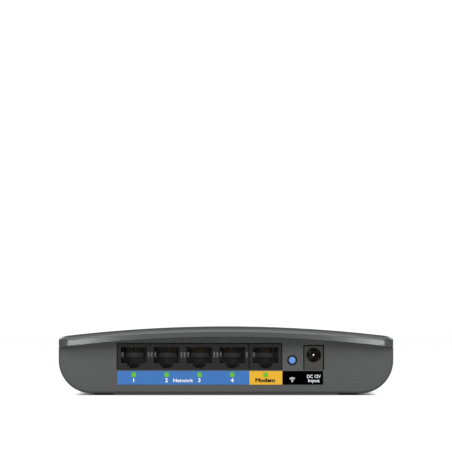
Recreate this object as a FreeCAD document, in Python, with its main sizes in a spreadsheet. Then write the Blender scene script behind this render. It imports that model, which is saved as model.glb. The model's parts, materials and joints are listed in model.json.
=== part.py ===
"""A low, wedge-shaped wireless router: its case, sockets, buttons, lights, board and screws.

The case stands on four rubber feet. +Z is up, -Y is the side with the sockets, and the origin is
on the ground under the middle of the case. Every size is a cell of the sheet Dims, in millimetres.
"""

import FreeCAD, Part

import math
import os
import re

import Sketcher
from FreeCAD import Vector

SIZES = [
    # the case as a whole
    ("case_width", 152.0, "cover and base"),
    ("case_depth", 188.0, "over the cover's bowed ends"),
    ("rear_bow", 5.0, "how far the cover's rear edge bows out"),
    ("front_bow", 9.0, "how far the front bows out"),
    ("front_corner", 26.0, "front corner radius, seen from above"),
    ("rear_corner", 5.0, "the cover's rear corner radius, seen from above"),
    ("panel_edge", 1.2, "rounding round the socket panel"),
    ("hull_radius", 15.0, "rounding between the base's sides and floor"),
    ("arch_radius", 640.0, "arch of the cover from side to side"),
    ("crown_fall", 5.6, "fall of the cover from its highest point to its front edge"),
    ("crown_setback", 54.0, "highest point of the cover, from its rear edge"),
    ("lid_rise", 4.7, "highest point of the cover above the rear of the parting line"),
    ("part_fall", 4.6, "fall of the parting line from rear to front"),
    ("lip_overhang", 8.0, "how far the cover reaches over the socket panel"),
    ("bridge_height", 0.95, "panel left above the corner of the four-port socket"),
    ("cover_edge", 1.7, "rounding of the cover's upper edge"),
    ("cover_wall", 2.0, "top wall of the cover"),
    ("case_wall", 2.0, "walls of the base"),
    ("floor_thickness", 2.0, "floor of the base"),
    ("seat_gap", 0.02, "play between pieces that rest on each other"),
    ("seam_height", 0.3, "shadow gap along the parting line"),
    ("seam_depth", 0.5, "depth of the shadow gap"),
    ("rib_thickness", 1.0, "the cover's locating rib"),
    ("rib_depth", 1.6, "how far that rib reaches into the base"),
    ("rib_gap", 0.25, "play round that rib"),
    ("panel_rise", 1.8, "how far the panel reaches up behind the lip"),
    # feet, case screws and their posts
    ("foot_height", 0.8, "how far the feet stand out"),
    ("foot_radius", 4.8, "rubber foot"),
    ("foot_recess", 0.6, "depth of a foot's seat"),
    ("foot_gap", 0.15, "play round a foot in its seat"),
    ("post_side_gap", 20.0, "screw post axis to the case's side"),
    ("post_rear_gap", 19.0, "rear screw post axis to the case's rear end"),
    ("post_front_gap", 40.0, "front screw post axis to the case's front end"),
    ("post_radius", 4.6, "screw post"),
    ("post_height", 10.6, "screw post above the floor"),
    ("post_seat", 2.4, "plastic clamped by a case screw"),
    ("boss_radius", 3.4, "the cover's screw boss"),
    ("screw_head_radius", 2.8, "case screw head"),
    ("screw_head_height", 1.8, "case screw head"),
    ("screw_radius", 1.45, "case screw shank"),
    ("screw_length", 10.0, "case screw shank"),
    ("screw_gap", 0.3, "play round heads and shanks"),
    ("thread_bite", 0.02, "play between a thread-forming screw and its hole"),
    ("drive_width", 0.7, "arms of the cross recess in a screw head"),
    ("drive_length", 2.8, "arms of the cross recess in a screw head"),
    ("drive_depth", 1.0, "cross recess in a screw head"),
    # circuit board and its fixing
    ("board_side_gap", 11.0, "board edge to the case's side"),
    ("board_depth", 98.0, "board, rear edge to front edge"),
    ("board_thickness", 1.6, "board"),
    ("board_panel_gap", 0.4, "board edge to the inside of the panel"),
    ("board_corner_gap", 1.0, "board notch round a screw post"),
    ("standoff_height", 7.0, "board above the floor"),
    ("standoff_radius", 3.0, "standoff"),
    ("standoff_inset", 5.0, "standoff axis to the board's side and front"),
    ("standoff_setback", 24.0, "rear standoff axis to the board's rear edge"),
    ("board_screw_radius", 1.1, "board screw shank"),
    ("board_screw_head", 2.3, "board screw head radius"),
    ("board_screw_rise", 1.6, "board screw head height"),
    ("board_screw_length", 6.0, "board screw shank"),
    # modular sockets
    ("jack_pitch", 14.9, "port to port"),
    ("jack_height", 11.9, "socket housing"),
    ("jack_depth", 16.8, "socket housing"),
    ("jack_gap", 0.35, "between the two socket housings, and round them in the panel"),
    ("jack_inset", 0.3, "socket front behind the panel's face"),
    ("ethernet_x", -49.3, "left side of the four-port socket"),
    ("internet_width", 14.55, "single socket housing"),
    ("port_width", 11.6, "plug opening"),
    ("port_sill", 3.1, "bottom of the plug opening above the board"),
    ("port_height", 7.2, "plug opening"),
    ("port_depth", 12.5, "plug opening"),
    ("latch_width", 5.9, "wide part of the latch slot"),
    ("latch_drop", 1.55, "height of the wide part"),
    ("catch_width", 3.3, "narrow part of the latch slot"),
    ("catch_drop", 0.75, "height of the narrow part"),
    ("contact_pitch", 1.02, "contact to contact"),
    ("contact_width", 0.45, "contact"),
    ("contact_thickness", 0.3, "contact"),
    ("contact_play", 0.12, "between contacts and the housing's channel"),
    ("contact_front", 4.2, "bend of the contacts behind the socket's face"),
    ("contact_tip", 9.6, "tip of the contacts behind the socket's face"),
    ("contact_dip", 2.7, "tip of the contacts below the opening's ceiling"),
    ("tail_front", 13.6, "front row of tails behind the socket's face"),
    ("tail_rear", 15.4, "rear row of tails behind the socket's face"),
    ("tail_length", 2.8, "tails below the board's top"),
    ("tail_hole", 0.45, "radius of a tail's hole"),
    ("comb_width", 8.2, "comb at the back of a port"),
    ("comb_height", 2.4, "comb"),
    ("comb_depth", 2.6, "comb"),
    ("comb_drop", 2.1, "comb below the opening's ceiling"),
    ("web_rib_width", 0.7, "pairs of ribs on the four-port socket's face"),
    ("web_rib_spacing", 1.35, "rib to rib in a pair"),
    ("web_rib_height", 2.5, "those ribs"),
    ("web_rib_rise", 0.2, "those ribs"),
    ("web_rib_sill", 5.6, "those ribs above the board"),
    # power socket
    ("power_spacing", 9.75, "power socket axis to the pairing button axis"),
    ("power_width", 8.4, "power socket housing"),
    ("power_height", 10.8, "power socket housing"),
    ("power_gap", 0.5, "between that housing and the panel"),
    ("power_depth", 14.0, "power socket housing"),
    ("power_inset", 0.5, "power socket front behind the panel's face"),
    ("power_axis", 6.8, "power socket axis above the board"),
    ("power_bore", 3.15, "power socket bore radius"),
    ("power_bore_depth", 10.2, "power socket bore"),
    ("power_chamfer", 0.4, "lead-in of the bore"),
    ("pin_radius", 1.05, "centre pin"),
    ("pin_shank", 1.4, "radius of the centre pin inside the housing's back wall"),
    ("pin_tip", 0.35, "rounding of the centre pin's tip"),
    ("pin_setback", 1.0, "centre pin's tip behind the socket's face"),
    ("spring_width", 1.8, "spring contact"),
    ("spring_thickness", 0.3, "spring contact"),
    ("spring_reach", 0.35, "how far the spring contact stands into the bore"),
    ("spring_seat", 0.9, "floor of the spring's slot below the bore"),
    ("spring_front", 2.4, "spring contact behind the socket's face"),
    ("spring_crest", 5.4, "its crest behind the socket's face"),
    ("spring_heel", 8.2, "end of its slope behind the socket's face"),
    ("spring_tail", 9.5, "its tail behind the socket's face"),
    ("plate_width", 3.2, "terminal plate behind the power socket"),
    ("plate_thickness", 0.4, "terminal plate"),
    ("plate_tail", 1.0, "width of the plate's tail"),
    ("slot_gap", 0.3, "play round a tail in the board's slot"),
    # buttons and their switches
    ("button_spacing", 4.5, "pairing button axis to the sockets' window"),
    ("button_axis", 4.4, "pairing button axis above the board"),
    ("button_radius", 1.75, "pairing button"),
    ("button_hole", 2.35, "its hole in the panel"),
    ("button_proud", 0.2, "how far it stands out of the panel"),
    ("button_travel", 0.5, "how far either button goes in"),
    ("flange_radius", 2.7, "a button's flange behind its wall"),
    ("flange_thickness", 0.8, "flange"),
    ("flange_gap", 0.05, "between flange and wall at rest"),
    ("stem_length", 1.5, "button behind its flange"),
    ("stem_radius", 1.3, "button behind its flange"),
    ("switch_width", 6.0, "switch housing"),
    ("switch_height", 3.5, "switch housing, along its plunger"),
    ("plunger_radius", 1.6, "switch plunger"),
    ("plunger_proud", 1.2, "plunger in front of its housing"),
    ("plunger_inside", 0.8, "plunger inside its housing"),
    ("plunger_play", 0.05, "round a plunger"),
    ("terminal_width", 0.7, "switch terminals"),
    ("terminal_thickness", 0.3, "switch terminals"),
    ("reset_x", 30.0, "reset button axis"),
    ("reset_setback", 30.6, "reset button axis, from the board's rear edge"),
    ("reset_radius", 1.5, "reset button"),
    ("reset_hole", 1.8, "its hole in the floor"),
    ("reset_sunk", 0.6, "reset button above the underside"),
    # lights and labels
    ("light_width", 2.0, "square port lights"),
    ("light_drop", 2.15, "port light axis below the board's top"),
    ("light_gap", 0.05, "play round a light guide"),
    ("light_neck", 1.2, "height of a light guide under the board"),
    ("light_reach", 6.5, "light guide behind the panel's face"),
    ("guide_bar", 1.2, "bar that joins the four guides"),
    ("guide_bar_gap", 2.4, "that bar behind the panel"),
    ("led_length", 1.2, "port light diode, along its guide"),
    ("led_width", 2.0, "port light diode"),
    ("led_height", 0.9, "light diodes"),
    ("label_thickness", 0.15, "printed labels"),
    ("label_bottom", 4.8, "labels above the ground"),
    ("label_top", 10.95, "labels above the ground"),
    ("rating_width", 56.0, "label under the case"),
    ("rating_depth", 32.0, "label under the case"),
    ("rating_gap", 28.0, "screw posts' line to its rear edge"),
    ("lamp_setback", 75.6, "power light, from the board's rear edge"),
    ("lamp_width", 9.0, "power light"),
    ("lamp_depth", 2.4, "power light"),
    ("lamp_rim", 1.2, "rim that stops the light guide inside the cover"),
    ("lamp_rim_depth", 1.0, "that rim"),
    ("lamp_stem", 1.0, "radius of the light guide's stem"),
    # wall mounting and ventilation
    ("keyhole_spacing", 88.0, "between the two wall-mount keyholes"),
    ("keyhole_y", -2.0, "centre of the keyholes' round ends"),
    ("keyhole_radius", 4.2, "round end"),
    ("keyhole_slot", 2.3, "radius of the narrow end"),
    ("keyhole_run", 9.0, "round end's centre to narrow end's centre"),
    ("keyhole_space", 4.4, "clear height behind the floor"),
    ("keyhole_wall", 1.2, "wall of the pocket behind a keyhole"),
    ("vent_length", 26.0, "vent slot"),
    ("vent_width", 2.0, "vent slot"),
    ("vent_pitch", 6.0, "vent slot to vent slot"),
    ("vent_spacing", 34.0, "between the two columns of vent slots"),
    ("vent_y", -46.0, "first slot of a column"),
    # what stands on the board
    ("processor_x", -6.0, "processor"),
    ("processor_setback", 47.6, "processor, from the board's rear edge"),
    ("processor_width", 21.0, "processor"),
    ("processor_height", 1.8, "processor"),
    ("pad_width", 19.0, "thermal pad"),
    ("pad_thickness", 0.8, "thermal pad"),
    ("sink_width", 34.0, "heat sink"),
    ("sink_depth", 30.0, "heat sink"),
    ("sink_base", 2.0, "heat sink's base plate"),
    ("sink_height", 8.5, "heat sink, base and fins"),
    ("fin_thickness", 1.0, "heat sink fin"),
    ("memory_x", 20.5, "memory chips"),
    ("memory_setback", 42.6, "first memory chip, from the board's rear edge"),
    ("memory_width", 9.0, "memory chip"),
    ("memory_depth", 11.0, "memory chip"),
    ("memory_pitch", 13.5, "memory chip to memory chip"),
    ("chip_height", 1.0, "memory, flash and radio chips"),
    ("flash_x", -6.0, "flash chip"),
    ("flash_setback", 85.6, "flash chip, from the board's rear edge"),
    ("flash_width", 12.0, "flash chip"),
    ("flash_depth", 8.0, "flash chip"),
    ("shield_x", 45.0, "shield centres, to either side"),
    ("shield_setback", 46.6, "shield centres, from the board's rear edge"),
    ("shield_width", 25.0, "radio shield"),
    ("shield_depth", 28.0, "radio shield"),
    ("shield_height", 3.0, "radio shield"),
    ("shield_sheet", 0.25, "radio shield's sheet metal"),
    ("shield_skirt", 1.6, "side walls of a shield's cover"),
    ("radio_width", 9.0, "radio chip"),
    ("antenna_inset", 2.5, "antenna to the board's side"),
    ("antenna_setback", 65.6, "middle of an antenna, from the board's rear edge"),
    ("antenna_length", 30.0, "antenna"),
    ("antenna_height", 9.0, "antenna above the board"),
    ("antenna_arm", 3.0, "height of an antenna's arm"),
    ("antenna_leg", 1.5, "width of an antenna's legs"),
    ("antenna_feed", 6.0, "antenna's leg to leg"),
    ("antenna_sheet", 0.5, "antenna's sheet metal"),
    ("magnetics_setback", 23.6, "transformer modules, from the board's rear edge"),
    ("magnetics_depth", 11.0, "transformer modules"),
    ("magnetics_height", 6.2, "transformer modules"),
    ("quad_width", 40.0, "four-port transformer module"),
    ("single_width", 16.0, "single transformer module"),
    ("can_x", 37.0, "first electrolytic capacitor"),
    ("can_setback", 21.6, "electrolytic capacitors, from the board's rear edge"),
    ("can_pitch", 10.0, "capacitor to capacitor"),
    ("can_radius", 4.0, "electrolytic capacitor"),
    ("can_height", 10.0, "electrolytic capacitor"),
    ("coil_x", 20.0, "first power inductor"),
    ("coil_setback", 71.6, "power inductors, from the board's rear edge"),
    ("coil_pitch", 11.0, "inductor to inductor"),
    ("coil_width", 7.0, "power inductor"),
    ("coil_height", 4.0, "power inductor"),
    ("regulator_setback", 80.6, "voltage regulators, from the board's rear edge"),
    ("regulator_width", 5.0, "voltage regulator"),
    ("regulator_height", 1.5, "voltage regulator"),
    ("diode_x", 50.5, "rectifier diode"),
    ("diode_setback", 29.6, "rectifier diode, from the board's rear edge"),
    ("diode_length", 4.4, "rectifier diode"),
    ("diode_width", 2.6, "rectifier diode"),
    ("crystal_x", -26.0, "first crystal"),
    ("crystal_setback", 69.1, "crystals, from the board's rear edge"),
    ("crystal_pitch", 14.0, "crystal to crystal"),
    ("crystal_length", 5.0, "crystal"),
    ("crystal_width", 3.2, "crystal"),
    ("crystal_height", 1.2, "crystal"),
    ("small_x", -28.0, "first resistor of the first row"),
    ("small_setback", 79.6, "first resistor row, from the board's rear edge"),
    ("small_pitch", 3.0, "resistor to resistor, and row to row"),
    ("small_length", 1.6, "small resistors and capacitors"),
    ("small_width", 0.8, "small resistors and capacitors"),
    ("resistor_height", 0.5, "resistor"),
    ("capacitor_height", 0.8, "small capacitor"),
    ("capacitor_x", 10.5, "first small capacitor"),
]
ALIASES = {name for name, _, _ in SIZES}

# heights above the ground
FLOOR = "(foot_height + floor_thickness)"
BOARD_UNDER = f"({FLOOR} + standoff_height)"
BOARD_TOP = f"({BOARD_UNDER} + board_thickness)"
JACK_TOP = f"({BOARD_TOP} + jack_height)"
ARCH_DROP = "(arch_radius - sqrt(arch_radius ^ 2 - ethernet_x ^ 2))"
PART_BACK = f"({JACK_TOP} + jack_gap + bridge_height + {ARCH_DROP})"
CREST = f"({PART_BACK} + lid_rise)"
AXIS_Z = f"({CREST} - arch_radius)"
POWER_Z = f"({BOARD_TOP} + power_axis)"
BUTTON_Z = f"({BOARD_TOP} + button_axis)"
LIGHT_Z = f"({BOARD_TOP} - light_drop)"
LIGHT_LOW = f"({LIGHT_Z} - light_width / 2)"
POST_TOP = f"({FLOOR} + post_height)"
# planes across the case, from rear to front
REAR = "(case_depth / -2)"
PANEL = f"({REAR} + lip_overhang)"
PANEL_BACK = f"({PANEL} + case_wall)"
BOARD_REAR = f"({PANEL_BACK} + board_panel_gap)"
BOARD_FRONT = f"({BOARD_REAR} + board_depth)"
JACK_FACE = f"({PANEL} + jack_inset)"
POWER_FACE = f"({PANEL} + power_inset)"
CREST_Y = f"({REAR} + crown_setback)"
CROWN_RUN = "(case_depth - crown_setback)"
CROWN_RADIUS = f"(({CROWN_RUN} ^ 2 + crown_fall ^ 2) / (2 * crown_fall))"
GUIDE_BAR_Y = f"({PANEL_BACK} + guide_bar_gap)"
POST_REAR = f"({REAR} + post_rear_gap)"
POST_FRONT = "(case_depth / 2 - post_front_gap)"
STANDOFF_REAR = f"({BOARD_REAR} + standoff_setback)"
STANDOFF_FRONT = f"({BOARD_FRONT} - standoff_inset)"
# what the board carries moves with its rear edge
RESET_Y = f"({BOARD_REAR} + reset_setback)"
LAMP_Y = f"({BOARD_REAR} + lamp_setback)"
PROCESSOR_Y = f"({BOARD_REAR} + processor_setback)"
MEMORY_Y = f"({BOARD_REAR} + memory_setback)"
FLASH_Y = f"({BOARD_REAR} + flash_setback)"
SHIELD_Y = f"({BOARD_REAR} + shield_setback)"
ANTENNA_Y = f"({BOARD_REAR} + antenna_setback)"
MAGNETICS_Y = f"({BOARD_REAR} + magnetics_setback)"
CAN_Y = f"({BOARD_REAR} + can_setback)"
COIL_Y = f"({BOARD_REAR} + coil_setback)"
REGULATOR_Y = f"({BOARD_REAR} + regulator_setback)"
DIODE_Y = f"({BOARD_REAR} + diode_setback)"
CRYSTAL_Y = f"({BOARD_REAR} + crystal_setback)"
SMALL_Y = f"({BOARD_REAR} + small_setback)"
# along the row of sockets, and to the sides
HALF_WIDTH = "(case_width / 2)"
ETHERNET_END = "(ethernet_x + 4 * jack_pitch)"
INTERNET_START = f"({ETHERNET_END} + jack_gap)"
INTERNET_END = f"({INTERNET_START} + internet_width)"
INTERNET_MIDDLE = f"({INTERNET_START} + internet_width / 2)"
PORT_X = "(ethernet_x + jack_pitch / 2)"
BUTTON_X = f"({INTERNET_END} + jack_gap + button_spacing)"
POWER_X = f"({BUTTON_X} + power_spacing)"
BOARD_HALF = f"({HALF_WIDTH} - board_side_gap)"
BOARD_NOTCH = f"({HALF_WIDTH} - post_side_gap - post_radius - board_corner_gap)"
POST_X = f"({HALF_WIDTH} - post_side_gap)"
STANDOFF_X = f"({BOARD_HALF} - standoff_inset)"
PORTS = 4
PORT_MIDDLES = [f"({PORT_X} + {port} * jack_pitch)" for port in range(PORTS)]
LIGHTS = PORT_MIDDLES + [INTERNET_MIDDLE]
SIDES = (-1, 1)
VENT_ROWS = 12
FINS = 9
MARGIN = 5  # how far a tool reaches past what it cuts

doc = FreeCAD.newDocument("Router")
sheet = doc.addObject("Spreadsheet::Sheet", "Dims")
pieces = []


# ---------------------------------------------------------------- the sheet and its expressions
def fill_sheet():
    for row, (alias, size, note) in enumerate(SIZES, start=1):
        sheet.set(f"A{row}", alias)
        sheet.set(f"B{row}", str(size))
        sheet.set(f"C{row}", note)
        sheet.setAlias(f"B{row}", alias)
    doc.recompute()


def linked(text):
    """The expression in the form that an object other than the sheet needs."""
    return re.sub(r"[a-z_]+", lambda m: f"Dims.{m[0]}" if m[0] in ALIASES else m[0], str(text))


def number(text):
    """What an expression comes to now: the starting size of a sketch, or the place of an edge."""
    return float(sheet.evalExpression(str(text)))


def tie(thing, prop, text):
    thing.setExpression(prop, linked(text))


def place(thing, x, y, z):
    for axis, text in zip("xyz", (x, y, z)):
        tie(thing, f"Placement.Base.{axis}", text)
    return thing


def keep(thing, label):
    """Makes the object one of the router's pieces: its label names its file."""
    thing.Label = label
    pieces.append(thing)
    return thing


# ---------------------------------------------------------------- solids and booleans
def box(name, x, y, z):
    """A block between the two ends given on each axis."""
    block = doc.addObject("Part::Box", name)
    for prop, (low, high) in zip(("Length", "Width", "Height"), (x, y, z)):
        tie(block, prop, f"({high}) - ({low})")
    return place(block, x[0], y[0], z[0])


def around(middle, width):
    """The two ends of a width round its middle."""
    return f"({middle}) - ({width}) / 2", f"({middle}) + ({width}) / 2"


def upward(start, length):
    return f"{start}", f"({start}) + ({length})"


TURNS = {
    "x": FreeCAD.Rotation(Vector(0, 1, 0), 90),
    "y": FreeCAD.Rotation(Vector(1, 0, 0), -90),
    "z": FreeCAD.Rotation(),
}


def aim(solid, along, start, centre):
    """Turns a round solid to its axis; centre is its place on the other two axes, in order."""
    solid.Placement.Rotation = TURNS[along]
    where = list(centre)
    where.insert("xyz".index(along), start)
    return place(solid, *where)


def rod(name, radius, along, start, length, centre):
    solid = doc.addObject("Part::Cylinder", name)
    tie(solid, "Radius", radius)
    tie(solid, "Height", length)
    return aim(solid, along, start, centre)


def cone(name, start_radius, end_radius, along, start, length, centre):
    solid = doc.addObject("Part::Cone", name)
    tie(solid, "Radius1", start_radius)
    tie(solid, "Radius2", end_radius)
    tie(solid, "Height", length)
    return aim(solid, along, start, centre)


def joined(kind, name, prop, things):
    made = doc.addObject(kind, name)
    setattr(made, prop, list(things))
    return made


def fuse(name, *things):
    return joined("Part::MultiFuse", name, "Shapes", things)


def common(name, *things):
    return joined("Part::MultiCommon", name, "Shapes", things)


def group(name, *things):
    return joined("Part::Compound", name, "Links", things)


def cut(name, base, *tools):
    made = doc.addObject("Part::Cut", name)
    made.Base = base
    made.Tool = tools[0] if len(tools) == 1 else fuse(name + "Tools", *tools)
    return made


# ---------------------------------------------------------------- sketches
def add_line(sketch, start, end):
    return sketch.addGeometry(Part.LineSegment(Vector(*start, 0), Vector(*end, 0)))


def add_arc(sketch, centre, radius, start, end):
    """An arc that runs anticlockwise between two angles in radians."""
    circle = Part.Circle(Vector(*centre, 0), Vector(0, 0, 1), radius)
    return sketch.addGeometry(Part.ArcOfCircle(circle, start, end))


def constrain(sketch, text, *rule):
    """Adds a rule with a size that follows the sheet."""
    made = sketch.addConstraint(Sketcher.Constraint(*rule, number(text)))
    tie(sketch, f"Constraints[{made}]", text)


def pin_point(sketch, line, end, x=None, y=None):
    """Ties a point to its distances from the sketch's origin."""
    if x is not None:
        constrain(sketch, x, "DistanceX", -1, 1, line, end)
    if y is not None:
        constrain(sketch, y, "DistanceY", -1, 1, line, end)


def close_loop(sketch, lines):
    for i, line in enumerate(lines):
        after = lines[(i + 1) % len(lines)]
        sketch.addConstraint(Sketcher.Constraint("Coincident", line, 2, after, 1))


def draw_polygon(sketch, points):
    """A closed outline whose corners are each tied to the sheet."""
    spots = [(number(x), number(y)) for x, y in points]
    lines = [add_line(sketch, spots[i], spots[(i + 1) % len(spots)]) for i in range(len(spots))]
    close_loop(sketch, lines)
    for line, (x, y) in zip(lines, points):
        pin_point(sketch, line, 1, x, y)


def draw_rectangle(sketch, x, y):
    """A rectangle between the two ends given on each axis."""
    draw_polygon(sketch, [(x[0], y[0]), (x[1], y[0]), (x[1], y[1]), (x[0], y[1])])


def draw_circle(sketch, x, y, radius):
    centre = Vector(number(x), number(y), 0)
    circle = sketch.addGeometry(Part.Circle(centre, Vector(0, 0, 1), number(radius)))
    pin_point(sketch, circle, 3, x, y)
    constrain(sketch, radius, "Radius", circle)


def draw_slot(sketch, x, y, half_length, radius):
    """A slot with round ends that runs along the sketch's x axis."""
    cx, cy, half, r = (number(text) for text in (x, y, half_length, radius))
    quarter = math.pi / 2
    left = add_arc(sketch, (cx - half, cy), r, quarter, 3 * quarter)
    low = add_line(sketch, (cx - half, cy - r), (cx + half, cy - r))
    right = add_arc(sketch, (cx + half, cy), r, -quarter, quarter)
    high = add_line(sketch, (cx + half, cy + r), (cx - half, cy + r))
    for one, other in ((left, low), (low, right), (right, high), (high, left)):
        sketch.addConstraint(Sketcher.Constraint("Tangent", one, 2, other, 1))
    pin_point(sketch, left, 3, f"({x}) - ({half_length})", y)
    pin_point(sketch, right, 3, f"({x}) + ({half_length})")
    constrain(sketch, radius, "Radius", left)


def draw_bow(sketch, centre_y, radius, half_width, side):
    """A shallow arc across the case, anticlockwise; side is -1 at the rear and 1 at the front."""
    r = number(radius)
    spread = math.asin(number(half_width) / r)
    middle = side * math.pi / 2
    bow = add_arc(sketch, (0, number(centre_y)), r, middle - spread, middle + spread)
    sketch.addConstraint(Sketcher.Constraint("PointOnObject", bow, 3, -2))
    pin_point(sketch, bow, 3, y=centre_y)
    constrain(sketch, radius, "Radius", bow)
    return bow


# ---------------------------------------------------------------- part design bodies
class Body:
    """A PartDesign body and the features that this router's pieces are made with."""

    def __init__(self, name):
        self.body = doc.addObject("PartDesign::Body", name)
        self.name = name
        self.count = 0

    def add(self, kind):
        self.count += 1
        return self.body.newObject(kind, f"{self.name}{self.count:02d}")

    def sketch(self, plane, offset="0"):
        """A sketch on XY, XZ or YZ, moved along the plane's normal (+Z, -Y or +X)."""
        sketch = self.add("Sketcher::SketchObject")
        flat = [f for f in self.body.Origin.OriginFeatures if f.Role == f"{plane}_Plane"]
        sketch.AttachmentSupport = [(flat[0], "")]
        sketch.MapMode = "FlatFace"
        tie(sketch, "AttachmentOffset.Base.z", offset)
        return sketch

    def finish(self, feature):
        self.body.Tip = feature
        doc.recompute()
        return feature

    def extrude(self, kind, sketch, length, back, middle):
        feature = self.add(kind)
        feature.Profile = sketch
        feature.Midplane = middle
        feature.Reversed = back
        tie(feature, "Length", length)
        return self.finish(feature)

    def pad(self, sketch, length, back=False, middle=False):
        return self.extrude("PartDesign::Pad", sketch, length, back, middle)

    def pocket(self, sketch, length, back=False, middle=False):
        return self.extrude("PartDesign::Pocket", sketch, length, back, middle)

    def fillet(self, radius, wanted):
        """Rounds the edges that the test picks."""
        last = self.body.Tip
        edges = [f"Edge{i}" for i, edge in enumerate(last.Shape.Edges, start=1) if wanted(edge)]
        feature = self.add("PartDesign::Fillet")
        feature.Base = (last, edges)
        tie(feature, "Radius", radius)
        return self.finish(feature)

    def repeat(self, original, axis, pitch, count, row_pitch=None, rows=1, row_axis=None):
        """Repeats a feature in a row, and that row again where rows are asked for."""
        feature = self.add("PartDesign::LinearPattern")
        sketch = original.Profile[0]
        feature.Originals = [original]
        feature.Direction = (sketch, [axis])
        feature.Occurrences = count
        tie(feature, "Length", f"({pitch}) * {count - 1}")
        if rows > 1:
            feature.Direction2 = (sketch, [row_axis or axis])
            feature.Occurrences2 = rows
            tie(feature, "Length2", f"({row_pitch}) * {rows - 1}")
        return self.finish(feature)


def middle_of(edge):
    return edge.valueAt((edge.FirstParameter + edge.LastParameter) / 2)


def is_upright(edge):
    start, end = edge.Vertexes[0].Point, edge.Vertexes[-1].Point
    return math.hypot(start.x - end.x, start.y - end.y) < 1e-6 < abs(start.z - end.z)


# ---------------------------------------------------------------- outlines shared by the case
def bow_radius(bow):
    return f"(({HALF_WIDTH} ^ 2 + {bow} ^ 2) / (2 * {bow}))"


def draw_case_outline(sketch, inset, bowed_rear):
    """The case seen from above, drawn in by inset; the rear is bowed, or flat at the panel."""
    half = f"({HALF_WIDTH} - ({inset}))"
    x = number(half)
    front_radius = bow_radius("front_bow")
    front = draw_bow(
        sketch, f"case_depth / 2 - {front_radius}", f"{front_radius} - ({inset})", half, 1
    )
    if bowed_rear:
        rear_radius = bow_radius("rear_bow")
        rear = draw_bow(sketch, f"{REAR} + {rear_radius}", f"{rear_radius} - ({inset})", half, -1)
    else:
        y = number(f"{PANEL} + ({inset})")
        rear = add_line(sketch, (-x, y), (x, y))
        sketch.addConstraint(Sketcher.Constraint("Horizontal", rear))
        pin_point(sketch, rear, 1, y=f"{PANEL} + ({inset})")
    right = add_line(sketch, (x, number(PANEL)), (x, 0))
    left = add_line(sketch, (-x, 0), (-x, number(PANEL)))
    close_loop(sketch, [rear, right, front, left])
    for line, text in ((right, half), (left, f"-{half}")):
        sketch.addConstraint(Sketcher.Constraint("Vertical", line))
        pin_point(sketch, line, 1, x=text)


def case_block(name, inset, z, bowed_rear=False, hull=None, rear_rounding=None):
    """The case's outline as a solid, with its corners and, for the base, its lower edges round."""
    block = Body(name)
    sketch = block.sketch("XY", z[0])
    draw_case_outline(sketch, inset, bowed_rear)
    block.pad(sketch, f"({z[1]}) - ({z[0]})")
    block.fillet(f"front_corner - ({inset})", lambda e: is_upright(e) and middle_of(e).y > 0)
    if hull:
        low, back = number(z[0]), number(f"{PANEL} + ({inset})")
        block.fillet(
            hull, lambda e: abs(middle_of(e).z - low) < 1e-6 and middle_of(e).y > back + 1e-6
        )
    if rear_rounding:
        block.fillet(rear_rounding, lambda e: is_upright(e) and middle_of(e).y < 0)
    return block


def parting(y, lift):
    """Height of the parting line over the middle of the case, at y, raised by lift."""
    return f"{PART_BACK} + ({lift}) - part_fall * ({y} - {REAR}) / case_depth"


REACH_BACK = f"({REAR} - {MARGIN})"
REACH_FRONT = f"(case_depth / 2 + {MARGIN})"


def arch(name, low, high_lift=None, crown_inset=None):
    """A slab arched from side to side, about the axis that cover and parting line share.

    It starts at the lift low above the parting line and ends at high_lift above it, or at the
    cover's outer surface drawn in by crown_inset.
    """
    sketch = doc.addObject("Sketcher::SketchObject", name + "Profile")
    sketch.Placement.Rotation = FreeCAD.Rotation(Vector(0, 1, 0), Vector(0, 0, 1), Vector(1, 0, 0))
    bottom = [(REACH_BACK, parting(REACH_BACK, low)), (REACH_FRONT, parting(REACH_FRONT, low))]
    if high_lift is not None:
        top = [(y, parting(y, high_lift)) for y in (REACH_FRONT, REACH_BACK)]
        draw_polygon(sketch, bottom + top)
    else:
        radius = f"({CROWN_RADIUS} - ({crown_inset}))"
        centre_z = f"({CREST} - {CROWN_RADIUS})"
        crown = number(CREST_Y), number(centre_z)
        back, front, r = number(REACH_BACK), number(REACH_FRONT), number(radius)
        angles = [math.acos((y - crown[0]) / r) for y in (front, back)]
        tops = [crown[1] + r * math.sin(angle) for angle in angles]
        lows = [number(z) for _, z in bottom]
        floor = add_line(sketch, (back, lows[0]), (front, lows[1]))
        rise = add_line(sketch, (front, lows[1]), (front, tops[0]))
        roof = add_arc(sketch, crown, r, *angles)
        fall = add_line(sketch, (back, tops[1]), (back, lows[0]))
        close_loop(sketch, [floor, rise, roof, fall])
        pin_point(sketch, floor, 1, *bottom[0])
        pin_point(sketch, floor, 2, *bottom[1])
        sketch.addConstraint(Sketcher.Constraint("Vertical", rise))
        sketch.addConstraint(Sketcher.Constraint("Vertical", fall))
        pin_point(sketch, roof, 3, CREST_Y, centre_z)
        constrain(sketch, radius, "Radius", roof)
    slab = doc.addObject("Part::Revolution", name)
    slab.Source = sketch
    slab.Axis = Vector(0, 1, 0)
    tie(slab, "Base.z", AXIS_Z)
    slab.Symmetric = True
    slab.Solid = True
    tie(slab, "Angle", f"2 * asin(({HALF_WIDTH} + {MARGIN}) / (arch_radius - {CREST} - {MARGIN}))")
    return slab


# ---------------------------------------------------------------- top cover
RIM = "(case_wall + rib_gap)"
CASE_SPAN = (f"-{MARGIN}", f"{CREST} + {MARGIN}")
TO_GROUND = f"-({CREST} + {MARGIN})"  # a lift that reaches below everything


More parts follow.
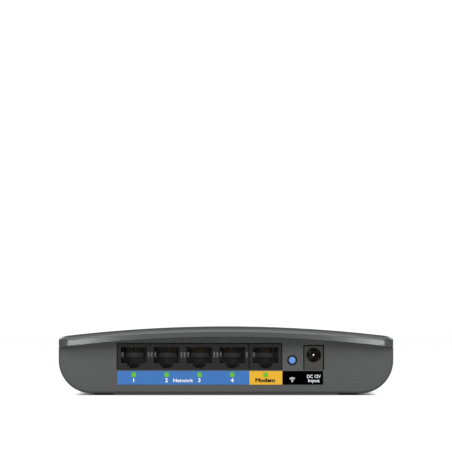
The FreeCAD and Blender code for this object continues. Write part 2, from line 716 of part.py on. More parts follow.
def on_crown(edge):
    """Whether an edge lies on the cover's outer surface."""
    p = middle_of(edge)
    radius = number(CROWN_RADIUS)
    crown_z = number(CREST) - radius + math.sqrt(radius**2 - (p.y - number(CREST_Y)) ** 2)
    axis_z = number(AXIS_Z)
    return abs(math.hypot(p.x, p.z - axis_z) - (crown_z - axis_z)) < 1e-3


def corners(x, ys):
    return [(f"{side} * {x}", y) for side in SIDES for y in ys]


POSTS = corners(POST_X, (POST_REAR, POST_FRONT))
STANDOFFS = corners(STANDOFF_X, (STANDOFF_REAR, STANDOFF_FRONT))


def lamp_prism(name, grow, z):
    """The power light's long round-ended outline, drawn out by grow."""
    prism = Body(name)
    sketch = prism.sketch("XY", z[0])
    draw_slot(sketch, "0", LAMP_Y, "(lamp_width - lamp_depth) / 2", f"lamp_depth / 2 + ({grow})")
    prism.pad(sketch, f"({z[1]}) - ({z[0]})")
    return prism.body


def make_cover():
    plan = case_block("CoverPlan", "0", CASE_SPAN, bowed_rear=True, rear_rounding="rear_corner")
    blank = common("CoverBlank", plan.body, arch("CoverArch", "0", crown_inset="0"))
    doc.recompute()
    shell = Body("CoverShell")
    shell.body.BaseFeature = blank
    shell.finish(shell.body.Group[0])
    shell.fillet("cover_edge", on_crown)

    inside = case_block("CoverInside", RIM, CASE_SPAN)
    behind = box(
        "BehindLip",
        (f"{RIM} - {HALF_WIDTH}", f"{HALF_WIDTH} - {RIM}"),
        (f"{PANEL} - rib_gap", f"{PANEL} + front_corner"),
        CASE_SPAN,
    )
    room = common(
        "CoverRoom",
        fuse("CoverRoomPlan", inside.body, behind),
        arch("CoverRoomArch", TO_GROUND, crown_inset="cover_wall"),
    )
    rib_ring = cut(
        "RibRing",
        case_block("RibOutside", RIM, CASE_SPAN).body,
        case_block("RibInside", f"{RIM} + rib_thickness", CASE_SPAN).body,
    )
    rib = common("LocatingRib", rib_ring, arch("RibArch", "-rib_depth", crown_inset="cover_wall / 2"))
    rods = [
        rod(f"Boss{i}", "boss_radius", "z", f"{POST_TOP} + seat_gap", f"{CREST}", post)
        for i, post in enumerate(POSTS)
    ]
    boss_arch = arch("BossArch", TO_GROUND, crown_inset="cover_wall / 2")
    bosses = common("Bosses", fuse("BossRods", *rods), boss_arch)
    pilots = [
        rod(
            f"Pilot{i}",
            "screw_radius + thread_bite",
            "z",
            POST_TOP,
            "screw_length - post_seat + 2 * screw_gap",
            post,
        )
        for i, post in enumerate(POSTS)
    ]
    seam_ring = cut(
        "SeamRing",
        case_block("SeamOutside", "-seam_depth", CASE_SPAN).body,
        case_block("SeamInside", "seam_depth", CASE_SPAN).body,
    )
    seam = common("Seam", seam_ring, arch("SeamArch", "0", high_lift="seam_height"))
    lamp_hole = lamp_prism("LampHole", "light_gap", (BOARD_TOP, f"{CREST} + {MARGIN}"))
    socket_room = box(
        "SocketRoom",
        ("ethernet_x - jack_gap", f"{INTERNET_END} + jack_gap"),
        (PANEL_BACK, f"{JACK_FACE} + jack_depth"),
        (BOARD_TOP, f"{JACK_TOP} + jack_gap"),
    )
    hollow = cut("CoverHollow", shell.body, room)
    whole = fuse("CoverWhole", hollow, rib, bosses)
    keep(cut("TopCover", whole, seam, lamp_hole, socket_room, *pilots), "top_cover")


# ---------------------------------------------------------------- base
def keyhole_parts(side, name):
    """The pocket behind a keyhole, and what is cut out of it and out of the floor."""
    x = f"({side} * keyhole_spacing / 2)"
    end = "(keyhole_y + keyhole_run)"
    reach = "(keyhole_radius + 0.2)"
    span_x = around(x, f"2 * {reach}")
    span_y = f"keyhole_y - {reach}", f"{end} + {reach}"
    outer = box(
        name + "Pocket",
        around(x, f"2 * ({reach} + keyhole_wall)"),
        (f"{span_y[0]} - keyhole_wall", f"{span_y[1]} + keyhole_wall"),
        (f"{FLOOR} - floor_thickness / 2", f"{FLOOR} + keyhole_space + keyhole_wall"),
    )
    inner = box(name + "Room", span_x, span_y, upward(FLOOR, "keyhole_space"))
    low = f"-{MARGIN}"
    high = f"({FLOOR} + 1)"
    entry = rod(name + "Entry", "keyhole_radius", "z", low, f"{high} - ({low})", (x, "keyhole_y"))
    neck = box(name + "Neck", around(x, "2 * keyhole_slot"), ("keyhole_y", end), (low, high))
    tip = rod(name + "Tip", "keyhole_slot", "z", low, f"{high} - ({low})", (x, end))
    return outer, [inner, entry, neck, tip]


def vent_slots():
    """Two columns of slots with round ends through the floor."""
    slots = Body("VentSlots")
    sketch = slots.sketch("XY", f"-{MARGIN}")
    draw_slot(
        sketch, "vent_spacing / -2", "vent_y", "(vent_length - vent_width) / 2", "vent_width / 2"
    )
    slot = slots.pad(sketch, f"{FLOOR} + 2 * {MARGIN}")
    slots.repeat(slot, "V_Axis", "vent_pitch", VENT_ROWS, "vent_spacing", 2, "H_Axis")
    return slots.body


def light_window(i, x):
    return box(
        f"LightWindow{i}",
        around(x, "light_width + 2 * light_gap"),
        (f"{PANEL} - {MARGIN}", f"{PANEL_BACK} + 1"),
        around(LIGHT_Z, "light_width + 2 * light_gap"),
    )


def make_base():
    blank = case_block("BaseBlank", "0", ("foot_height", CASE_SPAN[1]), hull="hull_radius")
    panel_y, top_z = number(PANEL), number(CASE_SPAN[1])
    blank.fillet(
        "panel_edge",
        lambda e: abs(middle_of(e).y - panel_y) < 1e-6 and middle_of(e).z < top_z - 1e-6,
    )
    under = arch("BaseArch", TO_GROUND, high_lift="-seat_gap")
    room = case_block("BaseRoom", "case_wall", (FLOOR, CASE_SPAN[1]), hull="hull_radius - case_wall")
    shell = cut("BaseShell", common("BaseBelow", blank.body, under), room.body)

    from_floor = f"({FLOOR} - floor_thickness / 2)"
    posts = [
        rod(f"Post{i}", "post_radius", "z", from_floor, f"{POST_TOP} - {from_floor}", spot)
        for i, spot in enumerate(POSTS)
    ]
    standoffs = [
        rod(f"Standoff{i}", "standoff_radius", "z", from_floor, f"{BOARD_UNDER} - {from_floor}", spot)
        for i, spot in enumerate(STANDOFFS)
    ]
    guide_rests = [
        box(
            f"GuideRest{i}",
            around(x, "light_width"),
            upward(GUIDE_BAR_Y, "guide_bar"),
            (from_floor, f"{LIGHT_LOW} - seat_gap"),
        )
        for i, x in enumerate(("ethernet_x + jack_pitch", "ethernet_x + 3 * jack_pitch", INTERNET_MIDDLE))
    ]
    half = f"({HALF_WIDTH} - {RIM} - rib_gap)"
    closing_rib = common(
        "ClosingRib",
        box("ClosingRibPlan", (f"-{half}", half), (PANEL, PANEL_BACK), CASE_SPAN),
        arch("ClosingRibArch", "-case_wall", high_lift="panel_rise"),
    )
    keyholes = [keyhole_parts(side, name) for side, name in zip(SIDES, ("KeyholeLeft", "KeyholeRight"))]
    pockets = [outer for outer, _ in keyholes]
    whole = fuse("BaseWhole", shell, *posts, *standoffs, *guide_rests, closing_rib, *pockets)

    tools = [tool for _, cuts in keyholes for tool in cuts]
    for i, spot in enumerate(POSTS):
        for name, radius, top in (
            ("FootSeat", "foot_radius + foot_gap", "foot_height + foot_recess"),
            ("HeadBore", "screw_head_radius + screw_gap", f"{POST_TOP} - post_seat"),
            ("ShankBore", "screw_radius + screw_gap", f"{POST_TOP} + 1"),
        ):
            tools.append(rod(f"{name}{i}", radius, "z", f"-{MARGIN}", f"{top} + {MARGIN}", spot))
    for i, spot in enumerate(STANDOFFS):
        depth = "(board_screw_length - board_thickness + screw_gap)"
        tools.append(
            rod(
                f"StandoffBore{i}",
                "board_screw_radius + thread_bite",
                "z",
                f"{BOARD_UNDER} - {depth}",
                f"{depth} + 1",
                spot,
            )
        )
    through = f"{PANEL} - {MARGIN}", f"{PANEL_BACK} + 1"
    depth = f"{MARGIN} + case_wall + 1"
    tools += [light_window(i, x) for i, x in enumerate(LIGHTS)]
    reset = "reset_x", RESET_Y
    tools += [
        vent_slots(),
        rod("ResetHole", "reset_hole", "z", f"-{MARGIN}", f"{FLOOR} + {MARGIN} + 1", reset),
        box(
            "JackWindow",
            ("ethernet_x - jack_gap", f"{INTERNET_END} + jack_gap"),
            through,
            (f"{BOARD_TOP} - seat_gap", f"{JACK_TOP} + jack_gap"),
        ),
        box(
            "PowerWindow",
            around(POWER_X, "power_width + 2 * power_gap"),
            through,
            (f"{BOARD_TOP} - seat_gap", f"{BOARD_TOP} + power_height + power_gap"),
        ),
        rod("ButtonHole", "button_hole", "y", through[0], depth, (BUTTON_X, BUTTON_Z)),
    ]
    keep(cut("BottomCase", whole, *tools), "bottom_case")


# ---------------------------------------------------------------- screws and feet
def screw(name, spot, seat, up, head_radius, head_height, radius, length):
    """A pan-head screw with a cross recess; up is 1 where the shank points up from the seat."""
    head_low = f"{seat} - {head_height}" if up == 1 else seat
    shank_low = seat if up == 1 else f"{seat} - {length}"
    recess_low = head_low if up == 1 else f"{seat} + {head_height} - drive_depth"
    recess_z = upward(recess_low, "drive_depth")
    solid = fuse(
        name + "Solid",
        rod(name + "Head", head_radius, "z", head_low, head_height, spot),
        rod(name + "Shank", radius, "z", shank_low, length, spot),
    )
    x, y = spot
    one_arm = box(name + "ArmX", around(x, "drive_length"), around(y, "drive_width"), recess_z)
    other_arm = box(name + "ArmY", around(x, "drive_width"), around(y, "drive_length"), recess_z)
    return cut(name, solid, one_arm, other_arm)


def make_fixings():
    case = "screw_head_radius", "screw_head_height", "screw_radius", "screw_length"
    seat = f"({POST_TOP} - post_seat)"
    case_screws = [screw(f"CaseScrew{i}", spot, seat, 1, *case) for i, spot in enumerate(POSTS)]
    keep(group("CaseScrews", *case_screws), "case_screws")
    board = "board_screw_head", "board_screw_rise", "board_screw_radius", "board_screw_length"
    board_screws = [
        screw(f"BoardScrew{i}", spot, BOARD_TOP, -1, *board) for i, spot in enumerate(STANDOFFS)
    ]
    keep(group("BoardScrews", *board_screws), "board_screws")
    feet = [
        rod(f"Foot{i}", "foot_radius", "z", "0", "foot_height + foot_recess", spot)
        for i, spot in enumerate(POSTS)
    ]
    keep(group("RubberFeet", *feet), "rubber_feet")


# ---------------------------------------------------------------- modular sockets
CEILING = f"({BOARD_TOP} + port_sill + port_height)"
FIRST_CONTACT = "3.5 * contact_pitch"


def port_outline(x):
    """The plug opening with the two steps of its latch slot below it."""
    sill = f"({BOARD_TOP} + port_sill)"
    step = f"({sill} - latch_drop)"
    low = f"({step} - catch_drop)"
    right = [
        (f"{x} + catch_width / 2", low),
        (f"{x} + catch_width / 2", step),
        (f"{x} + latch_width / 2", step),
        (f"{x} + latch_width / 2", sill),
        (f"{x} + port_width / 2", sill),
        (f"{x} + port_width / 2", CEILING),
    ]
    left = [(f"2 * {x} - ({px})", pz) for px, pz in right]
    return right + left[::-1]


def jack_housing(name, label, x, count):
    """A housing with one or more plug openings, side by side."""
    housing = Body(name)
    block = housing.sketch("XZ", f"-{JACK_FACE}")
    draw_rectangle(block, x, (BOARD_TOP, JACK_TOP))
    housing.pad(block, "jack_depth", back=True)
    middle = PORT_X if count > 1 else INTERNET_MIDDLE

    opening = housing.sketch("XZ", f"-{JACK_FACE}")
    draw_polygon(opening, port_outline(middle))
    cuts = [housing.pocket(opening, "port_depth")]
    if count > 1:
        housing.repeat(cuts[0], "H_Axis", "jack_pitch", count)

    channel = housing.sketch("YZ", middle)
    roof = f"({CEILING} + contact_thickness)"
    bend = f"({JACK_FACE} + contact_front - contact_play)"
    leg = f"({JACK_FACE} + tail_front - contact_play)"
    back = f"({JACK_FACE} + tail_rear + contact_thickness + contact_play)"
    draw_polygon(
        channel,
        [
            (bend, f"{CEILING} - contact_play"),
            (leg, f"{CEILING} - contact_play"),
            (leg, f"{BOARD_TOP} - 1"),
            (back, f"{BOARD_TOP} - 1"),
            (back, roof),
            (bend, roof),
        ],
    )
    slot = housing.pocket(
        channel, "7 * contact_pitch + contact_width + 2 * contact_play", middle=True
    )
    if count > 1:
        housing.repeat(slot, "N_Axis", "jack_pitch", count)

    comb = housing.sketch("XZ", f"-({JACK_FACE} + port_depth)")
    comb_top = f"({CEILING} - comb_drop)"
    draw_rectangle(comb, around(middle, "comb_width"), (f"{comb_top} - comb_height", comb_top))
    teeth = housing.pad(comb, "comb_depth")
    if count > 1:
        housing.repeat(teeth, "H_Axis", "jack_pitch", count)
        ribs = housing.sketch("XZ", f"-{JACK_FACE}")
        for side in SIDES:
            draw_rectangle(
                ribs,
                around(f"ethernet_x + jack_pitch + {side} * web_rib_spacing / 2", "web_rib_width"),
                upward(f"{BOARD_TOP} + web_rib_sill", "web_rib_height"),
            )
        rib = housing.pad(ribs, "web_rib_rise")
        housing.repeat(rib, "H_Axis", "jack_pitch", count - 1)
    keep(housing.body, label)


def jack_contacts(name, label, middle, count):
    """Eight spring contacts to a port; their tails go through the board in two staggered rows."""
    contacts = Body(name)
    bend = f"({JACK_FACE} + contact_front)"
    tip = f"({JACK_FACE} + contact_tip)"
    low = f"({CEILING} - contact_dip)"
    bottom = f"({BOARD_TOP} - tail_length)"
    for row, tail in enumerate(("tail_front", "tail_rear")):
        leg = f"({JACK_FACE} + {tail})"
        sketch = contacts.sketch("YZ", f"{middle} - {FIRST_CONTACT} + {row} * contact_pitch")
        draw_polygon(
            sketch,
            [
                (f"{leg} + contact_thickness", bottom),
                (f"{leg} + contact_thickness", f"{CEILING} + contact_thickness"),
                (bend, f"{CEILING} + contact_thickness"),
                (bend, CEILING),
                (tip, low),
                (tip, f"{low} + contact_thickness"),
                (f"{bend} + 2 * contact_thickness", CEILING),
                (leg, CEILING),
                (leg, bottom),
            ],
        )
        strip = contacts.pad(sketch, "contact_width", middle=True)
        contacts.repeat(strip, "N_Axis", "2 * contact_pitch", 4, "jack_pitch", count)
    keep(contacts.body, label)


def make_jacks():
    jack_housing("EthernetHousing", "ethernet_jack_housing", ("ethernet_x", ETHERNET_END), PORTS)
    jack_housing("InternetHousing", "internet_jack_housing", (INTERNET_START, INTERNET_END), 1)
    jack_contacts("EthernetContacts", "ethernet_jack_contacts", PORT_X, PORTS)
    jack_contacts("InternetContacts", "internet_jack_contacts", INTERNET_MIDDLE, 1)


# ---------------------------------------------------------------- power socket
POWER_CENTRE = (POWER_X, POWER_Z)
POWER_BACK = f"({POWER_FACE} + power_depth)"
SPRING_SEAT = f"({POWER_Z} - power_bore - spring_seat)"
SPRING_TAIL = f"({POWER_FACE} + spring_tail)"


def make_power_jack():
    block = box(
        "PowerBlock",
        around(POWER_X, "power_width"),
        (POWER_FACE, POWER_BACK),
        upward(BOARD_TOP, "power_height"),
    )
    spring_room = around(POWER_X, "spring_width + 2 * contact_play")
    tools = [
        rod("PowerBore", "power_bore", "y", POWER_FACE, "power_bore_depth", POWER_CENTRE),
        cone(
            "PowerLeadIn",
            "power_bore + power_chamfer",
            "power_bore",
            "y",
            POWER_FACE,
            "power_chamfer",
            POWER_CENTRE,
        ),
        rod("PinHole", "pin_shank + thread_bite", "y", POWER_FACE, "power_depth + 1", POWER_CENTRE),
        box(
            "SpringSlot",
            spring_room,
            (f"{POWER_FACE} + spring_front - contact_play", f"{POWER_FACE} + power_bore_depth"),
            (SPRING_SEAT, POWER_Z),
        ),
        box(
            "SpringTailSlot",
            spring_room,
            (f"{SPRING_TAIL} - contact_play", f"{SPRING_TAIL} + spring_thickness + contact_play"),
            (f"{BOARD_TOP} - 1", POWER_Z),
        ),
    ]
    keep(cut("PowerHousing", block, *tools), "dc_jack_housing")

    pin = Body("CenterPin")
    end = pin.sketch("XZ", f"-({POWER_FACE} + pin_setback)")
    draw_circle(end, *POWER_CENTRE, "pin_radius")
    pin.pad(end, "power_bore_depth - pin_setback", back=True)
    shank = pin.sketch("XZ", f"-({POWER_FACE} + power_bore_depth)")
    draw_circle(shank, *POWER_CENTRE, "pin_shank")
    pin.pad(shank, "power_depth - power_bore_depth + plate_thickness", back=True)
    tip_y = number(f"{POWER_FACE} + pin_setback")
    pin.fillet("pin_tip", lambda e: abs(middle_of(e).y - tip_y) < 1e-6)
    keep(pin.body, "dc_jack_center_pin")

    spring = Body("SpringContact")
    side = spring.sketch("YZ", POWER_X)
    crest = f"({POWER_Z} - power_bore + spring_reach)"
    top = f"({SPRING_SEAT} + spring_thickness)"
    tail_low = f"({BOARD_TOP} - tail_length)"
    front, bump, heel = (f"({POWER_FACE} + {y})" for y in ("spring_front", "spring_crest", "spring_heel"))
    draw_polygon(
        side,
        [
            (front, SPRING_SEAT),
            (bump, f"{crest} - spring_thickness"),
            (heel, SPRING_SEAT),
            (SPRING_TAIL, SPRING_SEAT),
            (SPRING_TAIL, tail_low),
            (f"{SPRING_TAIL} + spring_thickness", tail_low),
            (f"{SPRING_TAIL} + spring_thickness", top),
            (heel, top),
            (bump, crest),
            (front, top),
        ],
    )
    spring.pad(side, "spring_width", middle=True)
    keep(spring.body, "dc_jack_spring_contact")

    plate = box(
        "PlateHead",
        around(POWER_X, "plate_width"),
        upward(POWER_BACK, "plate_thickness"),
        (f"{BOARD_TOP} + plate_tail", f"{POWER_Z} + plate_width / 2"),
    )
    tail = box(
        "PlateTail",
        around(POWER_X, "plate_tail"),
        upward(POWER_BACK, "plate_thickness"),
        (tail_low, POWER_Z),
    )
    bore = "pin_shank + thread_bite"
    rivet = rod("PlateHole", bore, "y", POWER_BACK, "2 * plate_thickness", POWER_CENTRE)
    keep(cut("PowerTerminal", fuse("Plate", plate, tail), rivet), "dc_jack_terminal")


# ---------------------------------------------------------------- buttons and switches
def button_cap(name, label, along, centre, radius, tip, wall_back, stem_end):
    """A round button with the flange that stops it behind its wall."""
    flange = f"({wall_back} + flange_gap)"
    solid = fuse(
        name,
        rod(name + "Face", radius, along, tip, f"{flange} - {tip} + flange_thickness", centre),
        rod(name + "Flange", "flange_radius", along, flange, "flange_thickness", centre),
        rod(name + "Stem", "stem_radius", along, flange, f"{stem_end} - {flange}", centre),
    )
    keep(solid, label)


def switch_plunger(name, label, along, centre, start):
    length = "plunger_proud + plunger_inside"
    keep(rod(name, "plunger_radius", along, start, length, centre), label)


def plunger_hole(name, along, centre, start):
    depth = "plunger_proud + plunger_inside + button_travel + 2 * plunger_play"
    return rod(name, "plunger_radius + plunger_play", along, start, depth, centre)


STEM_END = f"({PANEL_BACK} + flange_gap + flange_thickness + stem_length)"
SWITCH_FACE = f"({STEM_END} + plunger_proud)"
RESET_SWITCH = f"({BOARD_UNDER} - switch_height)"
RESET_STEM_END = f"({RESET_SWITCH} - plunger_proud)"


def make_buttons():
    centre = (BUTTON_X, BUTTON_Z)
    tip = f"({PANEL} - button_proud)"
    button_cap("PairingCap", "pairing_button_cap", "y", centre, "button_radius", tip, PANEL_BACK, STEM_END)
    switch_plunger("PairingPlunger", "pairing_switch_plunger", "y", centre, STEM_END)
    body_x = around(BUTTON_X, "switch_width")
    body_y = upward(SWITCH_FACE, "switch_height")
    body = box("PairingBlock", body_x, body_y, (BOARD_TOP, f"{BUTTON_Z} + switch_width / 2"))
    hole = plunger_hole("PairingHole", "y", centre, STEM_END)
    keep(cut("PairingSwitch", body, hole), "pairing_switch_body")
    legs = []
    for i, (x, y) in enumerate(
        (x, y) for x in (f"{body_x[0]} - terminal_thickness", body_x[1])
        for y in (f"{SWITCH_FACE} + terminal_width / 2", f"{body_y[1]} - terminal_width * 1.5")
    ):
        legs.append(
            box(
                f"PairingLeg{i}",
                upward(x, "terminal_thickness"),
                upward(y, "terminal_width"),
                (BOARD_TOP, BUTTON_Z),
            )
        )
    keep(group("PairingLegs", *legs), "pairing_switch_terminals")

    centre = ("reset_x", RESET_Y)
    tip = "(foot_height + reset_sunk)"
    button_cap("ResetCap", "reset_button_cap", "z", centre, "reset_radius", tip, FLOOR, RESET_STEM_END)
    switch_plunger("ResetPlunger", "reset_switch_plunger", "z", centre, RESET_STEM_END)
    body_x, body_y = around("reset_x", "switch_width"), around(RESET_Y, "switch_width")
    body = box("ResetBlock", body_x, body_y, (RESET_SWITCH, BOARD_UNDER))
    hole = plunger_hole("ResetHoleInside", "z", centre, RESET_STEM_END)
    keep(cut("ResetSwitch", body, hole), "reset_switch_body")
    legs = [
        box(
            f"ResetLeg{i}",
            upward(x, "terminal_width"),
            around(y, "terminal_width"),
            (f"{BOARD_UNDER} - terminal_thickness", BOARD_UNDER),
        )
        for i, (x, y) in enumerate(
            (x, y) for x in (f"{body_x[0]} - terminal_width", body_x[1])
            for y in (f"{RESET_Y} - switch_width / 4", f"{RESET_Y} + switch_width / 4")
        )
    ]
    keep(group("ResetLegs", *legs), "reset_switch_terminals")


# ---------------------------------------------------------------- lights and labels
def light_guide(name, x):
    """A square head in the panel and a lower neck that reaches in under the board."""
    neck_start = f"({BOARD_REAR} - 2 * light_gap)"
    window = upward(LIGHT_LOW, "light_width")
    head = box(name + "Head", around(x, "light_width"), (PANEL, neck_start), window)
    neck = box(
        name + "Neck",
        around(x, "light_width"),
        (PANEL, f"{PANEL} + light_reach"),
        upward(LIGHT_LOW, "light_neck"),
    )
    return head, neck


def make_lights():
    solids = [solid for i, x in enumerate(PORT_MIDDLES) for solid in light_guide(f"Guide{i}", x)]
    bar = box(
        "GuideBar",
        (PORT_MIDDLES[0], PORT_MIDDLES[-1]),
        upward(GUIDE_BAR_Y, "guide_bar"),
        upward(LIGHT_LOW, "light_neck"),
    )
    keep(fuse("EthernetGuide", bar, *solids), "ethernet_light_guide")
    keep(fuse("InternetGuide", *light_guide("InternetGuide", INTERNET_MIDDLE)), "internet_light_guide")
    diodes = [
        box(
            f"PortLed{i}",
            around(x, "led_width"),
            upward(f"{PANEL} + light_reach + light_gap", "led_length"),
            (f"{BOARD_UNDER} - led_height", BOARD_UNDER),
        )
        for i, x in enumerate(LIGHTS)
    ]
    keep(group("PortLeds", *diodes), "port_leds")

    led_x, led_y = around("0", "lamp_depth"), around(LAMP_Y, "lamp_depth")
    led = box("PowerLed", led_x, led_y, upward(BOARD_TOP, "led_height"))
    keep(led, "power_led")
    above = f"{CREST} + {MARGIN}"
    rim_low = f"{CREST} - cover_wall - lamp_rim_depth"
    head = lamp_prism("LampHead", "0", (rim_low, above))
    stem_low = f"({BOARD_TOP} + led_height + light_gap)"
    stem_length = f"{CREST} - {stem_low} - cover_wall"
    stem = rod("LampStem", "lamp_stem", "z", stem_low, stem_length, ("0", LAMP_Y))
    under_crown = arch("LampArch", TO_GROUND, crown_inset="0")
    inside = common("LampInside", fuse("LampLong", head, stem), under_crown)
    rim = common(
        "LampRim",
        lamp_prism("LampRimPlan", "lamp_rim", (rim_low, above)),
        arch("LampRimArch", TO_GROUND, crown_inset="cover_wall"),
    )
    keep(fuse("PowerLightGuide", inside, rim), "power_light_guide")


def label_strip(name, label, x, lights):
    strip = box(name + "Strip", x, (f"{PANEL} - label_thickness", PANEL), ("label_bottom", "label_top"))
    holes = [
        box(
            f"{name}Hole{i}",
            around(light, "light_width + 2 * light_gap"),
            (f"{PANEL} - 1", PANEL),
            around(LIGHT_Z, "light_width + 2 * light_gap"),
        )
        for i, light in enumerate(lights)
    ]
    keep(cut(name, strip, *holes) if holes else strip, label)


def make_labels():
    split = INTERNET_START
    middle = f"({INTERNET_END} + jack_gap)"
    label_strip("EthernetLabel", "ethernet_label_strip", ("ethernet_x", split), PORT_MIDDLES)
    label_strip("InternetLabel", "internet_label_strip", (split, middle), [INTERNET_MIDDLE])
    label_strip("PowerLabel", "power_label_strip", (middle, f"{POWER_X} + power_width / 2"), [])
    rear_edge = f"({POST_FRONT} - rating_gap)"
    rating = box(
        "RatingLabel",
        around("0", "rating_width"),
        upward(rear_edge, "rating_depth"),
        ("foot_height - label_thickness", "foot_height"),
    )
    keep(rating, "rating_label")


# ---------------------------------------------------------------- circuit board
def make_board():
    board = Body("Board")
    outline = board.sketch("XY", BOARD_UNDER)
    notch_y = f"({POST_REAR} + post_radius + board_corner_gap)"
    draw_polygon(
        outline,
        [
            (f"-{BOARD_NOTCH}", BOARD_REAR),
            (BOARD_NOTCH, BOARD_REAR),
            (BOARD_NOTCH, notch_y),
            (BOARD_HALF, notch_y),
            (BOARD_HALF, BOARD_FRONT),
            (f"-{BOARD_HALF}", BOARD_FRONT),
            (f"-{BOARD_HALF}", notch_y),
            (f"-{BOARD_NOTCH}", notch_y),
        ],
    )
    board.pad(outline, "board_thickness")

    screws = board.sketch("XY", BOARD_TOP)
    for x, y in STANDOFFS:
        draw_circle(screws, x, y, "board_screw_radius + screw_gap")
    board.pocket(screws, "board_thickness")

    for middle, count in ((PORT_X, PORTS), (INTERNET_MIDDLE, 1)):
        for row, tail in enumerate(("tail_front", "tail_rear")):
            hole = board.sketch("XY", BOARD_TOP)
            x = f"{middle} - {FIRST_CONTACT} + {row} * contact_pitch"
            draw_circle(hole, x, f"{JACK_FACE} + {tail} + contact_thickness / 2", "tail_hole")
            pocket = board.pocket(hole, "board_thickness")
            board.repeat(pocket, "H_Axis", "2 * contact_pitch", 4, "jack_pitch", count)

    slots = board.sketch("XY", BOARD_TOP)
    for width, y, thickness in (
        ("spring_width", SPRING_TAIL, "spring_thickness"),
        ("plate_tail", POWER_BACK, "plate_thickness"),
    ):
        draw_rectangle(
            slots,
            around(POWER_X, f"{width} + 2 * slot_gap"),
            around(f"{y} + {thickness} / 2", f"{thickness} + 2 * slot_gap"),
        )
    board.pocket(slots, "board_thickness")
    keep(board.body, "main_circuit_board")


def chip(name, x, y, width, depth, height, low=BOARD_TOP):
    return box(name, around(x, width), around(y, depth), upward(low, height))


def row_of(name, label, spots, width, depth, height):
    """Equal blocks that share a file, each standing on the board."""
    blocks = [chip(f"{name}{i}", x, y, width, depth, height) for i, (x, y) in enumerate(spots)]
    keep(group(name, *blocks), label)


def make_processor():
    spot = ("processor_x", PROCESSOR_Y)
    package = chip("Processor", *spot, "processor_width", "processor_width", "processor_height")
    keep(package, "processor_chip")
    pad_low = f"({BOARD_TOP} + processor_height)"
    keep(chip("ThermalPad", *spot, "pad_width", "pad_width", "pad_thickness", pad_low), "thermal_pad")
    sink = Body("HeatSink")
    base = sink.sketch("XY", f"{pad_low} + pad_thickness")
    draw_rectangle(base, around(spot[0], "sink_width"), around(spot[1], "sink_depth"))
    sink.pad(base, "sink_base")
    fins = sink.sketch("XY", f"{pad_low} + pad_thickness")
    left = "processor_x - sink_width / 2"
    draw_rectangle(fins, upward(left, "fin_thickness"), around(spot[1], "sink_depth"))
    fin = sink.pad(fins, "sink_height")
    sink.repeat(fin, "H_Axis", f"(sink_width - fin_thickness) / {FINS - 1}", FINS)
    keep(sink.body, "heat_sink")


def make_shields():
    frames, covers, radios = [], [], []
    for side in SIDES:
        name = "Left" if side < 0 else "Right"
        spot = (f"{side} * shield_x", SHIELD_Y)
        lid_low = f"({BOARD_TOP} + shield_height)"
        wall = "2 * shield_sheet"
        outer = chip(name + "FrameOuter", *spot, "shield_width", "shield_depth", "shield_height")
        width, depth = (f"{size} - 2 * {wall}" for size in ("shield_width", "shield_depth"))
        inner = chip(name + "FrameInner", *spot, width, depth, "shield_height + 1")
        frames.append(cut(name + "Frame", outer, inner))
        gap = f"2 * ({wall} + seat_gap)"
        skirt_low = f"({lid_low} - shield_skirt)"
        lid = chip(
            name + "Lid",
            *spot,
            f"shield_width + {gap}",
            f"shield_depth + {gap}",
            "shield_skirt + shield_sheet",
            skirt_low,
        )
        room = chip(
            name + "LidRoom",
            *spot,
            "shield_width + 2 * seat_gap",
            "shield_depth + 2 * seat_gap",
            "shield_skirt + 1",
            f"{skirt_low} - 1",
        )
        covers.append(cut(name + "Cover", lid, room))
        radios.append(chip(name + "Radio", *spot, "radio_width", "radio_width", "chip_height"))
    keep(group("ShieldFrames", *frames), "rf_shield_frames")
    keep(group("ShieldCovers", *covers), "rf_shield_covers")
    keep(group("RadioChips", *radios), "radio_chips")


def make_antenna(side, label):
    """A stamped inverted-F antenna that stands on two legs along one side of the board."""
    antenna = Body("AntennaLeft" if side < 0 else "AntennaRight")
    shape = antenna.sketch("YZ", f"{side} * ({BOARD_HALF} - antenna_inset)")
    top = f"({BOARD_TOP} + antenna_height)"
    arm_low = f"({top} - antenna_arm)"
    start = f"({ANTENNA_Y} - antenna_length / 2)"
    feed = f"({start} + antenna_feed)"
    draw_polygon(
        shape,
        [
            (start, BOARD_TOP),
            (f"{start} + antenna_leg", BOARD_TOP),
            (f"{start} + antenna_leg", arm_low),
            (feed, arm_low),
            (feed, BOARD_TOP),
            (f"{feed} + antenna_leg", BOARD_TOP),
            (f"{feed} + antenna_leg", arm_low),
            (f"{start} + antenna_length", arm_low),
            (f"{start} + antenna_length", top),
            (start, top),
        ],
    )
    antenna.pad(shape, "antenna_sheet", middle=True)
    keep(antenna.body, label)


def make_power_parts():
    spots = [(f"can_x + {i} * can_pitch", CAN_Y) for i in range(2)]
    cans = [
        rod(f"Can{i}", "can_radius", "z", BOARD_TOP, "can_height", spot)
        for i, spot in enumerate(spots)
    ]
    keep(group("Cans", *cans), "electrolytic_capacitors")
    xs = [f"coil_x + {i} * coil_pitch" for i in range(2)]
    coils = [(x, COIL_Y) for x in xs]
    row_of("Coils", "power_inductors", coils, "coil_width", "coil_width", "coil_height")
    regulators = [(x, REGULATOR_Y) for x in xs]
    size = "regulator_width", "regulator_width", "regulator_height"
    row_of("Regulators", "voltage_regulators", regulators, *size)
    diode = chip("Diode", "diode_x", DIODE_Y, "diode_length", "diode_width", "regulator_height")
    keep(diode, "rectifier_diode")


